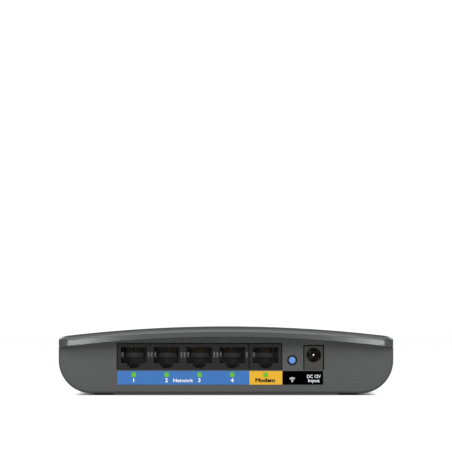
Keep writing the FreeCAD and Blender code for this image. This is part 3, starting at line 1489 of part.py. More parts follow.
def make_small_parts():
    memory = [("memory_x", f"{MEMORY_Y} + {i} * memory_pitch") for i in range(2)]
    row_of("Memory", "memory_chips", memory, "memory_width", "memory_depth", "chip_height")
    keep(chip("Flash", "flash_x", FLASH_Y, "flash_width", "flash_depth", "chip_height"), "flash_chip")
    ports = f"({PORT_X} + (jack_pitch * {PORTS - 1}) / 2)"
    quad = chip("Quad", ports, MAGNETICS_Y, "quad_width", "magnetics_depth", "magnetics_height")
    keep(quad, "ethernet_transformer_module")
    size = "single_width", "magnetics_depth", "magnetics_height"
    single = chip("Single", INTERNET_MIDDLE, MAGNETICS_Y, *size)
    keep(single, "internet_transformer_module")
    crystals = [(f"crystal_x + {i} * crystal_pitch", CRYSTAL_Y) for i in range(2)]
    row_of("Crystals", "crystal_oscillators", crystals, "crystal_length", "crystal_width", "crystal_height")
    for name, label, x, height in (
        ("Resistors", "chip_resistors", "small_x", "resistor_height"),
        ("Capacitors", "chip_capacitors", "capacitor_x", "capacitor_height"),
    ):
        spots = [
            (f"{x} + {column} * small_pitch", f"{SMALL_Y} + {row} * small_pitch")
            for row in range(3)
            for column in range(3)
        ]
        row_of(name, label, spots, "small_length", "small_width", height)


# ---------------------------------------------------------------- check and write
def write_pieces():
    doc.recompute()
    for thing in doc.Objects:
        if "Invalid" in thing.State or "Error" in thing.State:
            raise RuntimeError(f"{thing.Name} ({thing.Label}): {thing.State}")
    os.makedirs("parts", exist_ok=True)
    for piece in pieces:
        if piece.Shape.isNull() or not piece.Shape.isValid():
            raise RuntimeError(f"{piece.Label} has no valid shape")
        piece.Shape.exportStep(f"parts/{piece.Label}.step")


fill_sheet()
make_cover()
make_base()
make_fixings()
make_jacks()
make_power_jack()
make_buttons()
make_lights()
make_labels()
make_board()
make_processor()
make_shields()
make_antenna(-1, "antenna_left")
make_antenna(1, "antenna_right")
make_power_parts()
make_small_parts()
write_pieces()
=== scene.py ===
"""The wireless router's looks: finishes, printed labels, buttons, feet and the board's parts."""

import json
import math

import bmesh
import bpy
from mathutils import Matrix, Vector


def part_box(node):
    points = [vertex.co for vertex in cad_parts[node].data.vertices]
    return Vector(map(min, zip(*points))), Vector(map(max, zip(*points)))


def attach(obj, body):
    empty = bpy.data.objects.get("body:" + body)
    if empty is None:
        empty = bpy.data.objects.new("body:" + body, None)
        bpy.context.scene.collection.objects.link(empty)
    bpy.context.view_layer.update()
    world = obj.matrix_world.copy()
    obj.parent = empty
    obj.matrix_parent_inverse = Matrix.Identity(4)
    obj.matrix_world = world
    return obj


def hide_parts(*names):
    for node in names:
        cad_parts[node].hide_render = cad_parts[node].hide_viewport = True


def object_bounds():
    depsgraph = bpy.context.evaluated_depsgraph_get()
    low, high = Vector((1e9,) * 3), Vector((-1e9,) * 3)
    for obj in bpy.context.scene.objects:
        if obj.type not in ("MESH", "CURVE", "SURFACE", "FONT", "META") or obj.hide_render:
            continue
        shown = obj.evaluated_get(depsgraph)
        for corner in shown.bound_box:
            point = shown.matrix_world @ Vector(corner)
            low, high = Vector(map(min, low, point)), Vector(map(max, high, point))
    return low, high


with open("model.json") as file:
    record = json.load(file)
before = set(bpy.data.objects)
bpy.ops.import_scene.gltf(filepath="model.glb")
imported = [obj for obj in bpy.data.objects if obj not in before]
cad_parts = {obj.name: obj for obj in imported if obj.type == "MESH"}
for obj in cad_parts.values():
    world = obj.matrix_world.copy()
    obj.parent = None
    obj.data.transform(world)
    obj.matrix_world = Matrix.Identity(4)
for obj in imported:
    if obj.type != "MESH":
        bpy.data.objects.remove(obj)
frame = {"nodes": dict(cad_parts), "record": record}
cad_low, cad_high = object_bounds()

MM = 0.001
CASE = "case"
PANEL_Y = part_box("bottom_case")[0].y  # the face with the sockets


def middle_of(node):
    low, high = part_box(node)
    return (low + high) / 2


# ---------------------------------------------------------------- camera and lights
CAMERA_DISTANCE = 0.9
CAMERA_RISE = 1.0  # degrees above the object's middle
VIEW_WIDTH = 0.2055  # width of the view at the socket panel
AIM_HEIGHT = 0.0768  # height of the view's middle over the floor, at the socket panel
SENSOR_WIDTH = 36  # of the camera, in millimetres
FILL = 0.07  # light from all around
BACKDROP = 1.1  # brightness behind the object, just past white


def put_in_scene(name, data):
    thing = bpy.data.objects.new(name, data)
    bpy.context.scene.collection.objects.link(thing)
    return thing


def look_at(thing, target):
    thing.rotation_euler = (target - thing.location).to_track_quat("-Z", "Y").to_euler()


def add_camera():
    camera = put_in_scene("camera", bpy.data.cameras.new("camera"))
    bpy.context.scene.camera = camera
    middle = (cad_low.z + cad_high.z) / 2
    rise = middle + CAMERA_DISTANCE * math.tan(math.radians(CAMERA_RISE))
    camera.location = (0, PANEL_Y - CAMERA_DISTANCE, rise)
    look_at(camera, Vector((0, PANEL_Y, AIM_HEIGHT)))
    camera.data.sensor_width = SENSOR_WIDTH
    camera.data.lens = SENSOR_WIDTH * CAMERA_DISTANCE / VIEW_WIDTH
    camera.data.clip_start, camera.data.clip_end = 0.01, 50


def add_softbox(name, place, target, width, height, power):
    light = bpy.data.lights.new(name, "AREA")
    light.shape = "RECTANGLE"
    light.size, light.size_y = width, height
    light.energy = power
    box = put_in_scene(name, light)
    box.location = place
    look_at(box, target)
    box.visible_camera = False


def round_from(angle, distance, height):
    """A place at an angle from the camera's side of the object, in degrees to the right."""
    turn = math.radians(angle)
    return Vector((distance * math.sin(turn), PANEL_Y - distance * math.cos(turn), height))


def add_lights():
    """Boxes in front, above and behind, and a low strip that glints on each end of the cover."""
    middle = Vector((0, PANEL_Y, 0.02))
    add_softbox("front_box", round_from(0, 1.2, 1.1), middle, 2.2, 1.3, 33.0)
    add_softbox("top_box", Vector((0, 0.15, 1.4)), Vector((0, 0, 0)), 1.6, 1.2, 6.5)
    for side in (-1, 1):
        add_softbox(f"rear_box_{side}", round_from(side * 140, 1.6, 1.0), middle, 1.2, 0.8, 11.0)
        cover_end = Vector((side * 0.068, 0, 0))
        place = round_from(side * 17.8, 1.2, 0.04) + cover_end
        add_softbox(f"strip_{side}", place, middle + cover_end, 0.05, 0.16, 1.7)


def add_surroundings():
    """A weak light from all around, which the camera sees as a white backdrop."""
    world = bpy.data.worlds.new("studio")
    bpy.context.scene.world = world
    world.use_nodes = True
    nodes, links = world.node_tree.nodes, world.node_tree.links
    paper = nodes["Background"]
    paper.inputs["Color"].default_value = (1, 1, 1, 1)
    seen = nodes.new("ShaderNodeLightPath")
    strength = nodes.new("ShaderNodeMapRange")
    strength.inputs["To Min"].default_value = FILL
    strength.inputs["To Max"].default_value = BACKDROP
    links.new(seen.outputs["Is Camera Ray"], strength.inputs["Value"])
    links.new(strength.outputs["Result"], paper.inputs["Strength"])
    bpy.context.scene.view_settings.view_transform = "Standard"


add_camera()
add_lights()
add_surroundings()


# ---------------------------------------------------------------- shader sockets with arithmetic
class Wire:
    """A shader socket that Python's arithmetic joins to Math nodes."""

    def __init__(self, finish, socket):
        self.finish = finish
        self.socket = socket

    def math(self, operation, *values):
        return self.finish.node("Math", {"operation": operation}, dict(enumerate(values)))

    def __add__(self, other):
        return self.math("ADD", self, other)

    def __sub__(self, other):
        return self.math("SUBTRACT", self, other)

    def __rsub__(self, other):
        return self.math("SUBTRACT", other, self)

    def __mul__(self, other):
        return self.math("MULTIPLY", self, other)

    def __lt__(self, other):
        return self.math("LESS_THAN", self, other)

    def __gt__(self, other):
        return self.math("GREATER_THAN", self, other)

    __radd__ = __add__
    __rmul__ = __mul__

    def fraction(self):
        return self.math("FRACT", self)

    def size(self):
        return self.math("ABSOLUTE", self)


class Finish:
    """A material with a Principled shader that reads the model's own places, in metres."""

    def __init__(self, name, **constants):
        self.material = bpy.data.materials.new(name)
        self.material.use_nodes = True
        self.tree = self.material.node_tree
        self.shader = self.tree.nodes["Principled BSDF"]
        for socket, value in constants.items():
            self.put(socket.replace("_", " "), value)
        self.place = self.node("TexCoord", {}, {}, "Object")

    def put(self, socket, value):
        """Sets one of the shader's sockets to a constant, or joins a wire to it."""
        self.connect(self.shader.inputs[socket], value)

    def connect(self, socket, value):
        if isinstance(value, Wire):
            self.tree.links.new(value.socket, socket)
        else:
            socket.default_value = value

    def node(self, kind, settings, values, output=0):
        """Adds a node: its settings first, then what goes into its sockets."""
        node = self.tree.nodes.new("ShaderNode" + kind)
        for name, setting in settings.items():
            setattr(node, name, setting)
        for socket, value in values.items():
            self.connect(node.inputs[socket], value)
        return Wire(self, node.outputs[output])

    def noise(self, grain, detail=2.0, stretch=(1, 1, 1)):
        """Soft noise between 0 and 1 whose lumps are about grain millimetres across."""
        place = self.node("Mapping", {}, {"Vector": self.place, "Scale": stretch})
        scale = 1 / (grain * MM)
        return self.node("TexNoise", {}, {"Vector": place, "Scale": scale, "Detail": detail})

    def axes(self):
        split = self.node("SeparateXYZ", {}, {"Vector": self.place})
        return [Wire(self, split.socket.node.outputs[i]) for i in range(3)]

    def mix(self, first, second, factor):
        """Goes from the first colour to the second as factor goes from 0 to 1."""
        return self.node("Mix", {"data_type": "RGBA"}, {0: factor, 6: first, 7: second}, 2)

    def ramp(self, value, low, high):
        """Stretches value so that low becomes 0 and high becomes 1."""
        return self.node("MapRange", {}, {"Value": value, "From Min": low, "From Max": high})

    def bump(self, height, depth):
        """Raises the surface by up to depth millimetres where height is 1."""
        self.put("Normal", self.node("Bump", {}, {"Distance": depth * MM, "Height": height}))


def shade(colour, factor=1.0):
    return (*(channel * factor for channel in colour), 1.0)


# ---------------------------------------------------------------- finishes, grains in millimetres
def moulded(name, colour, roughness, grain=0.5, depth=0.02, mottle=0.06):
    """Moulded plastic with a fine eroded grain and a faint unevenness of colour."""
    finish = Finish(name)
    fine = finish.noise(grain, 3.0)
    broad = finish.noise(25, 1.0)
    uneven = fine * 0.6 + broad * 0.4
    dark, light = shade(colour, 1 - mottle), shade(colour, 1 + mottle)
    finish.put("Base Color", finish.mix(dark, light, uneven))
    finish.put("Roughness", roughness + (fine - 0.5) * 0.14 + (broad - 0.5) * 0.05)
    finish.bump(fine, depth)
    return finish.material


def cover_moulding():
    """The cover: the base's grey, smoother, with a very shallow orange peel."""
    colour = (0.070, 0.073, 0.072)
    finish = Finish("cover_grey", Specular_IOR_Level=0.38)
    fine = finish.noise(0.35, 3.0)
    peel = finish.noise(4, 1.0)
    finish.put("Base Color", finish.mix(shade(colour, 0.95), shade(colour, 1.05), peel))
    finish.put("Roughness", 0.2 + (fine - 0.5) * 0.07)
    finish.bump(fine * 0.6 + peel * 0.4, 0.003)
    return finish.material


def socket_moulding():
    """Black housings whose contact combs, deep in the ports, are dark grey."""
    comb_y, comb_low, comb_high = PANEL_Y + 8 * MM, 17.1 * MM, 19.8 * MM
    finish = Finish("socket_black", Specular_IOR_Level=0.3)
    _, y, z = finish.axes()
    comb = (y > comb_y) * (z > comb_low) * (z < comb_high)
    fine = finish.noise(0.4, 3.0)
    plain = finish.mix((0.0065, 0.0065, 0.007, 1), (0.0085, 0.0085, 0.009, 1), fine)
    finish.put("Base Color", finish.mix(plain, (0.06, 0.06, 0.06, 1), comb))
    finish.put("Roughness", 0.4 + (fine - 0.5) * 0.14)
    finish.bump(fine, 0.012)
    return finish.material


def film(name, colour, roughness=0.35, gloss=0.5):
    """Printed film: flat colour with the faint dots of a screen print."""
    finish = Finish(name, Roughness=roughness, Specular_IOR_Level=gloss)
    dots = finish.noise(0.12, 1.0)
    smear = finish.noise(6)
    uneven = dots * 0.5 + smear * 0.5
    finish.put("Base Color", finish.mix(shade(colour, 0.96), shade(colour, 1.03), uneven))
    finish.bump(dots, 0.003)
    return finish.material


def metal(name, colour, roughness, stretch=(1, 1, 8)):
    """Plated sheet metal with a drawn grain."""
    finish = Finish(name, Metallic=1.0)
    grain = finish.noise(0.4, 3.0, stretch)
    stain = finish.noise(5)
    finish.put("Base Color", finish.mix(shade(colour, 0.82), shade(colour), stain))
    finish.put("Roughness", roughness + (grain - 0.5) * 0.16)
    finish.bump(grain, 0.004)
    return finish.material


def pin_metal():
    """The power socket's pin: a painted highlight at the middle of its nose and painted dark
    reflection round it.
    """
    painted_dark_from, painted_highlight_within = 0.75 * MM, 0.35 * MM  # from the pin's axis
    axis = middle_of("dc_jack_center_pin")
    finish = Finish("pin_nickel", Metallic=1.0)
    x, _, z = finish.axes()
    squared = (x - axis.x) * (x - axis.x) + (z - axis.z) * (z - axis.z)
    painted_highlight = finish.ramp(squared, painted_dark_from**2, painted_highlight_within**2)
    cloud = finish.noise(0.3)
    # Painted light: the near-white middle of the nose is a painted highlight, the dark brown
    # round it a painted dark reflection.
    finish.put("Base Color", finish.mix((0.10, 0.085, 0.07, 1), (0.95, 0.92, 0.88, 1), painted_highlight))
    finish.put("Roughness", 0.3 + (cloud - 0.5) * 0.1 - painted_highlight * 0.1)
    finish.bump(cloud, 0.003)
    return finish.material


def glowing_guide():
    """Clear moulding that glows green at the face it shows in the panel and fades behind it."""
    glow = (0.09, 0.43, 0.0)
    finish = Finish("port_glow", Roughness=0.3, IOR=1.49, Emission_Strength=1.0)
    _, y, _ = finish.axes()
    near = finish.ramp(y, PANEL_Y + 3.0 * MM, PANEL_Y)
    cloud = finish.noise(0.6)
    finish.put("Base Color", (0.03, 0.08, 0.02, 1.0))
    lit = finish.mix(shade(glow, 0.92), shade(glow, 1.04), cloud)
    finish.put("Emission Color", finish.mix(shade(glow, 0.25), lit, near))
    finish.bump(cloud, 0.01)
    return finish.material


def lamp_guide():
    """The power light: milky at the cover's surface, clear below it."""
    finish = Finish("lamp_clear", Roughness=0.25, IOR=1.49, Emission_Strength=0.5)
    _, _, z = finish.axes()
    top = finish.ramp(z, cad_high.z - 2 * MM, cad_high.z - 0.3 * MM)
    cloud = finish.noise(0.8)
    finish.put("Base Color", finish.mix((0.6, 0.64, 0.66, 1), (0.8, 0.86, 0.88, 1), cloud))
    finish.put("Emission Color", finish.mix((0, 0, 0, 1), (0.45, 0.75, 0.95, 1), top))
    finish.bump(cloud, 0.008)
    return finish.material


def solder_mask():
    """Green board: tracks that run in patches along X or Y, and gold vias."""
    patch_size, track_pitch, via_pitch = (9 * MM, 7 * MM, 1.0), 0.9 * MM, 3.2 * MM
    finish = Finish("solder_mask", Roughness=0.38)
    x, y, _ = finish.axes()
    patch = finish.node("VectorMath", {"operation": "SNAP"}, {0: finish.place, 1: patch_size})
    runs_along_y = finish.node("TexWhiteNoise", {}, {"Vector": patch}) > 0.5

    def stripes(across):
        return ((across * (1 / track_pitch)).fraction() - 0.5).size() < 0.17

    tracks = stripes(x) * runs_along_y + stripes(y) * (1 - runs_along_y)
    spots = finish.node("TexVoronoi", {}, {"Vector": finish.place, "Scale": 1 / via_pitch})
    via = spots < 0.11
    green = finish.mix((0.008, 0.07, 0.03, 1), (0.02, 0.16, 0.06, 1), tracks)
    finish.put("Base Color", finish.mix(green, (0.75, 0.55, 0.2, 1), via))
    finish.put("Metallic", via * 0.9)
    finish.bump(tracks * 0.6 + via * 0.4, 0.03)
    return finish.material


def speckled(name, colour):
    """The fired body of a small resistor or capacitor."""
    finish = Finish(name, Roughness=0.45)
    speck = finish.noise(0.15)
    finish.put("Base Color", finish.mix(shade(colour, 0.85), shade(colour, 1.1), speck))
    finish.bump(speck, 0.01)
    return finish.material


finishes = {
    "cover": cover_moulding(),
    "base": moulded("base_grey", (0.060, 0.063, 0.061), 0.55, 0.75, 0.07, 0.22),
    "socket_black": socket_moulding(),
    "socket_grey": moulded("socket_grey", (0.03, 0.029, 0.027), 0.5, depth=0.03),
    "rubber": moulded("foot_rubber", (0.02, 0.02, 0.021), 0.8, 0.3, 0.03),
    "label_blue": film("blue_film", (0.028, 0.15, 0.45)),
    "label_yellow": film("yellow_film", (0.76, 0.41, 0.008)),
    "label_black": film("black_film", (0.0006, 0.0006, 0.0006), 0.6, 0.0),
    "label_grey": film("rating_film", (0.55, 0.56, 0.57)),
    "ink_white": film("white_ink", (0.86, 0.88, 0.9)),
    "ink_black": film("black_ink", (0.004, 0.004, 0.004), 0.5, 0.1),
    "button_blue": moulded("button_blue", (0.11, 0.29, 0.74), 0.35, 0.3, 0.006),
    "button_dark": moulded("button_dark", (0.012, 0.012, 0.012), 0.5),
    "plunger_plastic": moulded("plunger_cream", (0.55, 0.5, 0.38), 0.45),
    "chip_black": moulded("chip_epoxy", (0.022, 0.022, 0.024), 0.6, 0.15, 0.012),
    "pad_grey": moulded("pad_silicone", (0.3, 0.36, 0.42), 0.75, 0.6, 0.05),
    "ferrite": moulded("ferrite_black", (0.035, 0.034, 0.033), 0.7, 0.2),
    "sleeve": moulded("can_sleeve", (0.012, 0.02, 0.06), 0.32, depth=0.006),
    "led_body": moulded("led_resin", (0.75, 0.72, 0.55), 0.3, 0.3, 0.005),
    "gold_contact": metal("gold_contact", (0.78, 0.62, 0.38), 0.45),
    "nickel": metal("nickel_plate", (0.68, 0.66, 0.62), 0.26),
    "pin_nickel": pin_metal(),
    "tin": metal("tin_plate", (0.62, 0.61, 0.58), 0.34, (6, 1, 1)),
    "spring_steel": metal("spring_steel", (0.15, 0.15, 0.15), 0.55),
    "steel": metal("screw_steel", (0.5, 0.5, 0.48), 0.36),
    "sink_aluminium": metal("sink_aluminium", (0.55, 0.56, 0.57), 0.4, (1, 8, 1)),
    "copper": metal("winding_copper", (0.72, 0.33, 0.14), 0.35),
    "board_green": solder_mask(),
    "clear_guide": glowing_guide(),
    "lamp": lamp_guide(),
    "resistor": speckled("resistor_film", (0.02, 0.02, 0.022)),
    "ceramic": speckled("capacitor_ceramic", (0.42, 0.27, 0.15)),
}
finish_of = {entry["node"]: entry["material_slot"] for entry in frame["record"]["subparts"]}
finish_of.update(power_light_guide="lamp", dc_jack_housing="socket_grey")
for node, thing in frame["nodes"].items():
    thing.data.materials.clear()
    thing.data.materials.append(finishes[finish_of[node]])


# ---------------------------------------------------------------- helpers for new pieces
SHARP = math.radians(32)  # a sharper edge stays an edge


def add_piece(name, mesh, finish, body=CASE, replaces=()):
    """Turns a bmesh or a mesh into a piece that rides on a body."""
    data = mesh
    if isinstance(mesh, bmesh.types.BMesh):
        bmesh.ops.recalc_face_normals(mesh, faces=mesh.faces)
        data = bpy.data.meshes.new(name)
        mesh.to_mesh(data)
        mesh.free()
    data.shade_smooth()
    data.set_sharp_from_angle(angle=SHARP)
    data.materials.clear()
    data.materials.append(finishes[finish])
    piece = put_in_scene(name, data)
    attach(piece, body)
    if replaces:
        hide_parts(*replaces)


def solids_of(node):
    """The lowest and highest corner of each separate solid of a node, from left to right."""
    mesh = bmesh.new()
    mesh.from_mesh(frame["nodes"][node].data)
    bmesh.ops.remove_doubles(mesh, verts=mesh.verts, dist=1e-6)
    waiting = set(mesh.verts)
    found = []
    while waiting:
        reached, edge_of = set(), [waiting.pop()]
        while edge_of:
            corner = edge_of.pop()
            reached.add(corner)
            near = {edge.other_vert(corner) for edge in corner.link_edges} & waiting
            waiting -= near
            edge_of += near
        places = [corner.co for corner in reached]
        low = Vector([min(place[axis] for place in places) for axis in range(3)])
        high = Vector([max(place[axis] for place in places) for axis in range(3)])
        found.append((low, high))
    mesh.free()
    return sorted(found, key=lambda ends: (round(ends[0].y, 5), round(ends[0].x, 5)))


def foot_of(low, high):
    """The middle of a box's underside."""
    return Vector(((low.x + high.x) / 2, (low.y + high.y) / 2, low.z))


def round_edges(mesh, edges, radius, segments):
    bmesh.ops.bevel(
        mesh,
        geom=edges,
        offset=radius,
        segments=segments,
        affect="EDGES",
        profile=0.5,
        material=-1,
    )


def add_block(mesh, low, high, radius=0.0, segments=2):
    """Adds a box to a bmesh, with its edges rounded."""
    middle, size = (low + high) / 2, high - low
    place = Matrix.Translation(middle) @ Matrix.Diagonal((*size, 1.0))
    made = bmesh.ops.create_cube(mesh, size=1.0, matrix=place)
    if radius:
        edges = dict.fromkeys(edge for corner in made["verts"] for edge in corner.link_edges)
        round_edges(mesh, list(edges), radius, segments)


TURN_TO = {"y": Matrix.Rotation(math.radians(-90), 4, "X"), "z": Matrix.Identity(4)}


def add_turned(mesh, outline, centre, axis="z", steps=48):
    """Spins an outline of (radius, height) points about an axis through centre."""
    start = [mesh.verts.new((radius, 0, height)) for radius, height in outline]
    edges = [mesh.edges.new(pair) for pair in zip(start, start[1:])]
    before = set(mesh.verts) - set(start)
    bmesh.ops.spin(
        mesh,
        geom=start + edges,
        cent=(0, 0, 0),
        axis=(0, 0, 1),
        angle=math.tau,
        steps=steps,
        use_merge=True,
    )
    made = [corner for corner in mesh.verts if corner not in before]
    bmesh.ops.remove_doubles(mesh, verts=made, dist=1e-7)
    made = [corner for corner in mesh.verts if corner not in before]
    bmesh.ops.transform(mesh, matrix=Matrix.Translation(centre) @ TURN_TO[axis], verts=made)


def turned_node(node, axis):
    """A round node's low end and length, and its widest part's radius, start and end."""
    along = "xyz".index(axis)
    low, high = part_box(node)
    radius = (high.x - low.x) / 2
    low_end = (low + high) / 2
    low_end[along] = low[along]
    rim = []
    for corner in frame["nodes"][node].data.vertices:
        away = corner.co - low_end
        height = away[along]
        away[along] = 0
        if away.length > 0.98 * radius:
            rim.append(height)
    return low_end, high[along] - low[along], radius, min(rim), max(rim)


# ---------------------------------------------------------------- printed words and marks
INK = 0.03 * MM
LINE = 5.95  # the ground to the lower line of words, in millimetres
UPPER_LINE = 7.85
FLAT_TO_PANEL = Matrix.Rotation(math.radians(90), 4, "X")


def words_mesh(name, words, boldness):
    """Text in the XY plane, centred on its width, standing on y = 0."""
    curve = bpy.data.curves.new(name, "FONT")
    curve.body = words
    curve.align_x = "CENTER"
    curve.bevel_depth = boldness
    curve.bevel_resolution = 0
    curve.extrude = 0.5
    curve.resolution_u = 4
    writer = bpy.data.objects.new(name + "_curve", curve)
    mesh = bpy.data.meshes.new_from_object(writer)
    bpy.data.objects.remove(writer)
    return mesh


CAPITAL = max(corner.co.y for corner in words_mesh("measure", "H", 0.0).vertices)


def print_words(name, words, x, line, height, ink, width=None, boldness=0.02):
    """Prints words on the panel's labels. Sizes are in millimetres; width fixes their length."""
    mesh = words_mesh(name, words, boldness)
    upward = sideways = height * MM / CAPITAL
    if width:
        span = [corner.co.x for corner in mesh.vertices]
        sideways = width * MM / (max(span) - min(span))
    label_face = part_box("ethernet_label_strip")[0].y
    place = Matrix.Translation((x, label_face - INK / 2, line * MM))
    mesh.transform(place @ FLAT_TO_PANEL @ Matrix.Diagonal((sideways, upward, INK, 1.0)))
    add_piece(name, mesh, ink)


def print_labels():
    ports = [(low.x + high.x) / 2 for low, high in solids_of("port_leds")]
    for digit, x in enumerate(ports[:4], start=1):
        print_words(f"port_digit_{digit}", str(digit), x, LINE, 1.65, "ink_white", None, 0.035)
    network, modem = (ports[1] + ports[2]) / 2, ports[4] - 0.2 * MM
    power = middle_of("dc_jack_housing").x
    print_words("network_word", "Network", network, LINE, 1.5, "ink_white", 9.0)
    print_words("modem_word", "Modem", modem, LINE, 1.7, "ink_black", 8.9, 0.045)
    print_words("voltage_word", "DC 12V", power, UPPER_LINE, 1.4, "ink_white", 6.2, 0.01)
    print_words("input_word", "Input", power, LINE, 1.4, "ink_white", 5.2, 0.01)


def print_radio_mark():
    """A dot under three arcs, for the pairing button."""
    dot, half_stroke, arcs = 0.27 * MM, 0.13 * MM, (0.75 * MM, 1.3 * MM, 1.85 * MM)
    arc_start, arc_angle = math.radians(48), math.radians(84)
    above_ground = 6.15 * MM
    mark = bmesh.new()
    bmesh.ops.create_circle(mark, cap_ends=True, segments=20, radius=dot)
    for radius in arcs:
        ends = [mark.verts.new((radius + side * half_stroke, 0, 0)) for side in (-1, 1)]
        edge = mark.edges.new(ends)
        bmesh.ops.transform(mark, matrix=Matrix.Rotation(arc_start, 4, "Z"), verts=ends)
        bmesh.ops.spin(
            mark,
            geom=[*ends, edge],
            cent=(0, 0, 0),
            axis=(0, 0, 1),
            angle=arc_angle,
            steps=12,
        )
    lifted = bmesh.ops.extrude_face_region(mark, geom=mark.faces[:])
    raised = [part for part in lifted["geom"] if isinstance(part, bmesh.types.BMVert)]
    bmesh.ops.translate(mark, verts=raised, vec=(0, 0, INK))
    x = middle_of("pairing_button_cap").x
    label_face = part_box("power_label_strip")[0].y
    place = Matrix.Translation((x, label_face + INK / 4, above_ground)) @ FLAT_TO_PANEL
    bmesh.ops.transform(mark, matrix=place, verts=mark.verts)
    add_piece("radio_mark", mark, "ink_white")


def make_rating_label():
    """A plain film with rounded corners, a ruled line and rows of bars."""
    low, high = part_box("rating_label")
    sheet = bmesh.new()
    add_block(sheet, low, high)
    upright = [
        edge
        for edge in sheet.edges
        if abs(edge.verts[0].co.z - edge.verts[1].co.z) > (high.z - low.z) / 2
    ]
    round_edges(sheet, upright, 2.5 * MM, 6)
    add_piece("rating_label_film", sheet, "label_grey", replaces=["rating_label"])
    marks = bmesh.new()
    margin = 3 * MM
    left, right, top, bottom = low.x + margin, high.x - margin, high.y - margin, low.y + margin

    def bar(x0, x1, y0, y1):
        ink_low, ink_high = low.z - INK / 2, low.z + INK / 2
        add_block(marks, Vector((x0, y0, ink_low)), Vector((x1, y1, ink_high)))

    for row in range(4):
        y = top - row * 3.2 * MM
        bar(left, left + (20 - 3 * (row % 2)) * MM, y - 1.0 * MM, y)
    for column in range(5):
        x = right - column * 4.4 * MM
        bar(x - 2.4 * MM, x, top - 5.2 * MM, top - 0.6 * MM)
    rule = bottom + 9.5 * MM
    bar(left, right, rule, rule + 0.3 * MM)
    for row in range(3):
        y = bottom + row * 2.8 * MM
        bar(left, right - (6 + 9 * row) * MM, y, y + 0.9 * MM)
    add_piece("rating_label_bars", marks, "ink_black")


# ---------------------------------------------------------------- feet, buttons and sockets
def make_feet():
    """Rubber feet with a shallow dish underneath and a rounded rim."""
    dish, rim = 0.15 * MM, 0.35 * MM
    quarter_turn = [math.pi / 2 * i / 4 for i in range(5)]
    feet = bmesh.new()
    for low, high in solids_of("rubber_feet"):
        radius, height = (high.x - low.x) / 2, high.z - low.z
        outline = [(0.0, dish), (radius * 0.55, dish), (radius * 0.62, 0.0)]
        outline += [
            (radius - rim * (1 - math.sin(turn)), rim * (1 - math.cos(turn)))
            for turn in quarter_turn
        ]
        outline += [(radius, height), (0.0, height)]
        add_turned(feet, outline, foot_of(low, high))
    add_piece("rubber_feet_round", feet, "rubber", replaces=["rubber_feet"])


def make_button(body, axis, face, finish):
    """A button cap with a softly domed face, a stop flange and a stem; face is its radius."""
    cap_node = body + "_cap"
    centre, length, flange, start, end = turned_node(cap_node, axis)
    stem, bevel, inset = 1.3 * MM, 0.1 * MM, 0.02 * MM
    skirt = face - inset
    outline = [(0.0, 0.0), (face * 0.5, 0.02 * MM), (face * 0.82, 0.09 * MM)]
    outline += [(face * 0.95, 0.2 * MM), (face, 0.42 * MM), (face, start)]
    outline += [(skirt, start + 0.05 * MM), (skirt, end), (0.0, end)]
    cap = bmesh.new()
    add_turned(cap, outline, centre, axis, 40)
    add_piece(body + "_round", cap, finish, body, replaces=[cap_node])
    outline = [(0.0, end - bevel), (face - bevel, end - bevel), (face - bevel, start)]
    outline += [(flange - bevel, start), (flange, start + bevel)]
    outline += [(flange, end - bevel), (flange - bevel, end)]
    outline += [(stem, end), (stem, length), (0.0, length)]
    # The flange and stem are dark: the reset button's own colour, but on the pairing button
    # painted shade for the shadowed gap round the blue face.
    rear = bmesh.new()
    add_turned(rear, outline, centre, axis, 40)
    add_piece(body + "_round_flange", rear, "button_dark", body)


def make_centre_pin():
    """The power socket's pin: a round nose, and a thicker shank in the housing's back wall."""
    centre, length, shank, step, _ = turned_node("dc_jack_center_pin", "y")
    radius, nose_length = 1.0 * MM, 1.3 * MM
    outline = [
        (radius * math.sin(turn), nose_length * (1 - math.cos(turn)))
        for turn in (math.pi / 2 * i / 8 for i in range(9))
    ]
    outline += [(radius, step), (shank, step), (shank, length), (0.0, length)]
    pin = bmesh.new()
    add_turned(pin, outline, centre, "y", 32)
    add_piece("centre_pin", pin, "pin_nickel", replaces=["dc_jack_center_pin"])


def make_socket_springs():
    """Small steel springs: in pairs between the ports, and one inside each port's left wall."""
    low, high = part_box("ethernet_jack_housing")
    ports = [(a.x + b.x) / 2 for a, b in solids_of("port_leds")]
    half_pitch = (ports[1] - ports[0]) / 2
    springs = bmesh.new()

    def leaf(x, behind_face, z, width, depth, height):
        """A spring whose middle and size are in millimetres, apart from x."""
        half = Vector((width, depth, height)) * (MM / 2)
        middle = Vector((x, low.y + behind_face * MM, z * MM))
        add_block(springs, middle - half, middle + half, 0.09 * MM)

    for port in ports[:3]:
        for side in (-1, 1):
            leaf(port + half_pitch + side * 0.675 * MM, 0.1, 18.25, 0.78, 0.3, 2.4)
    leaf(high.x - 0.9 * MM, 0.2, 18.25, 0.8, 0.5, 2.5)
    for port in ports:
        leaf(port - 5.3 * MM, 5, 18.3, 1.1, 6, 2.3)
    add_piece("socket_springs", springs, "spring_steel")


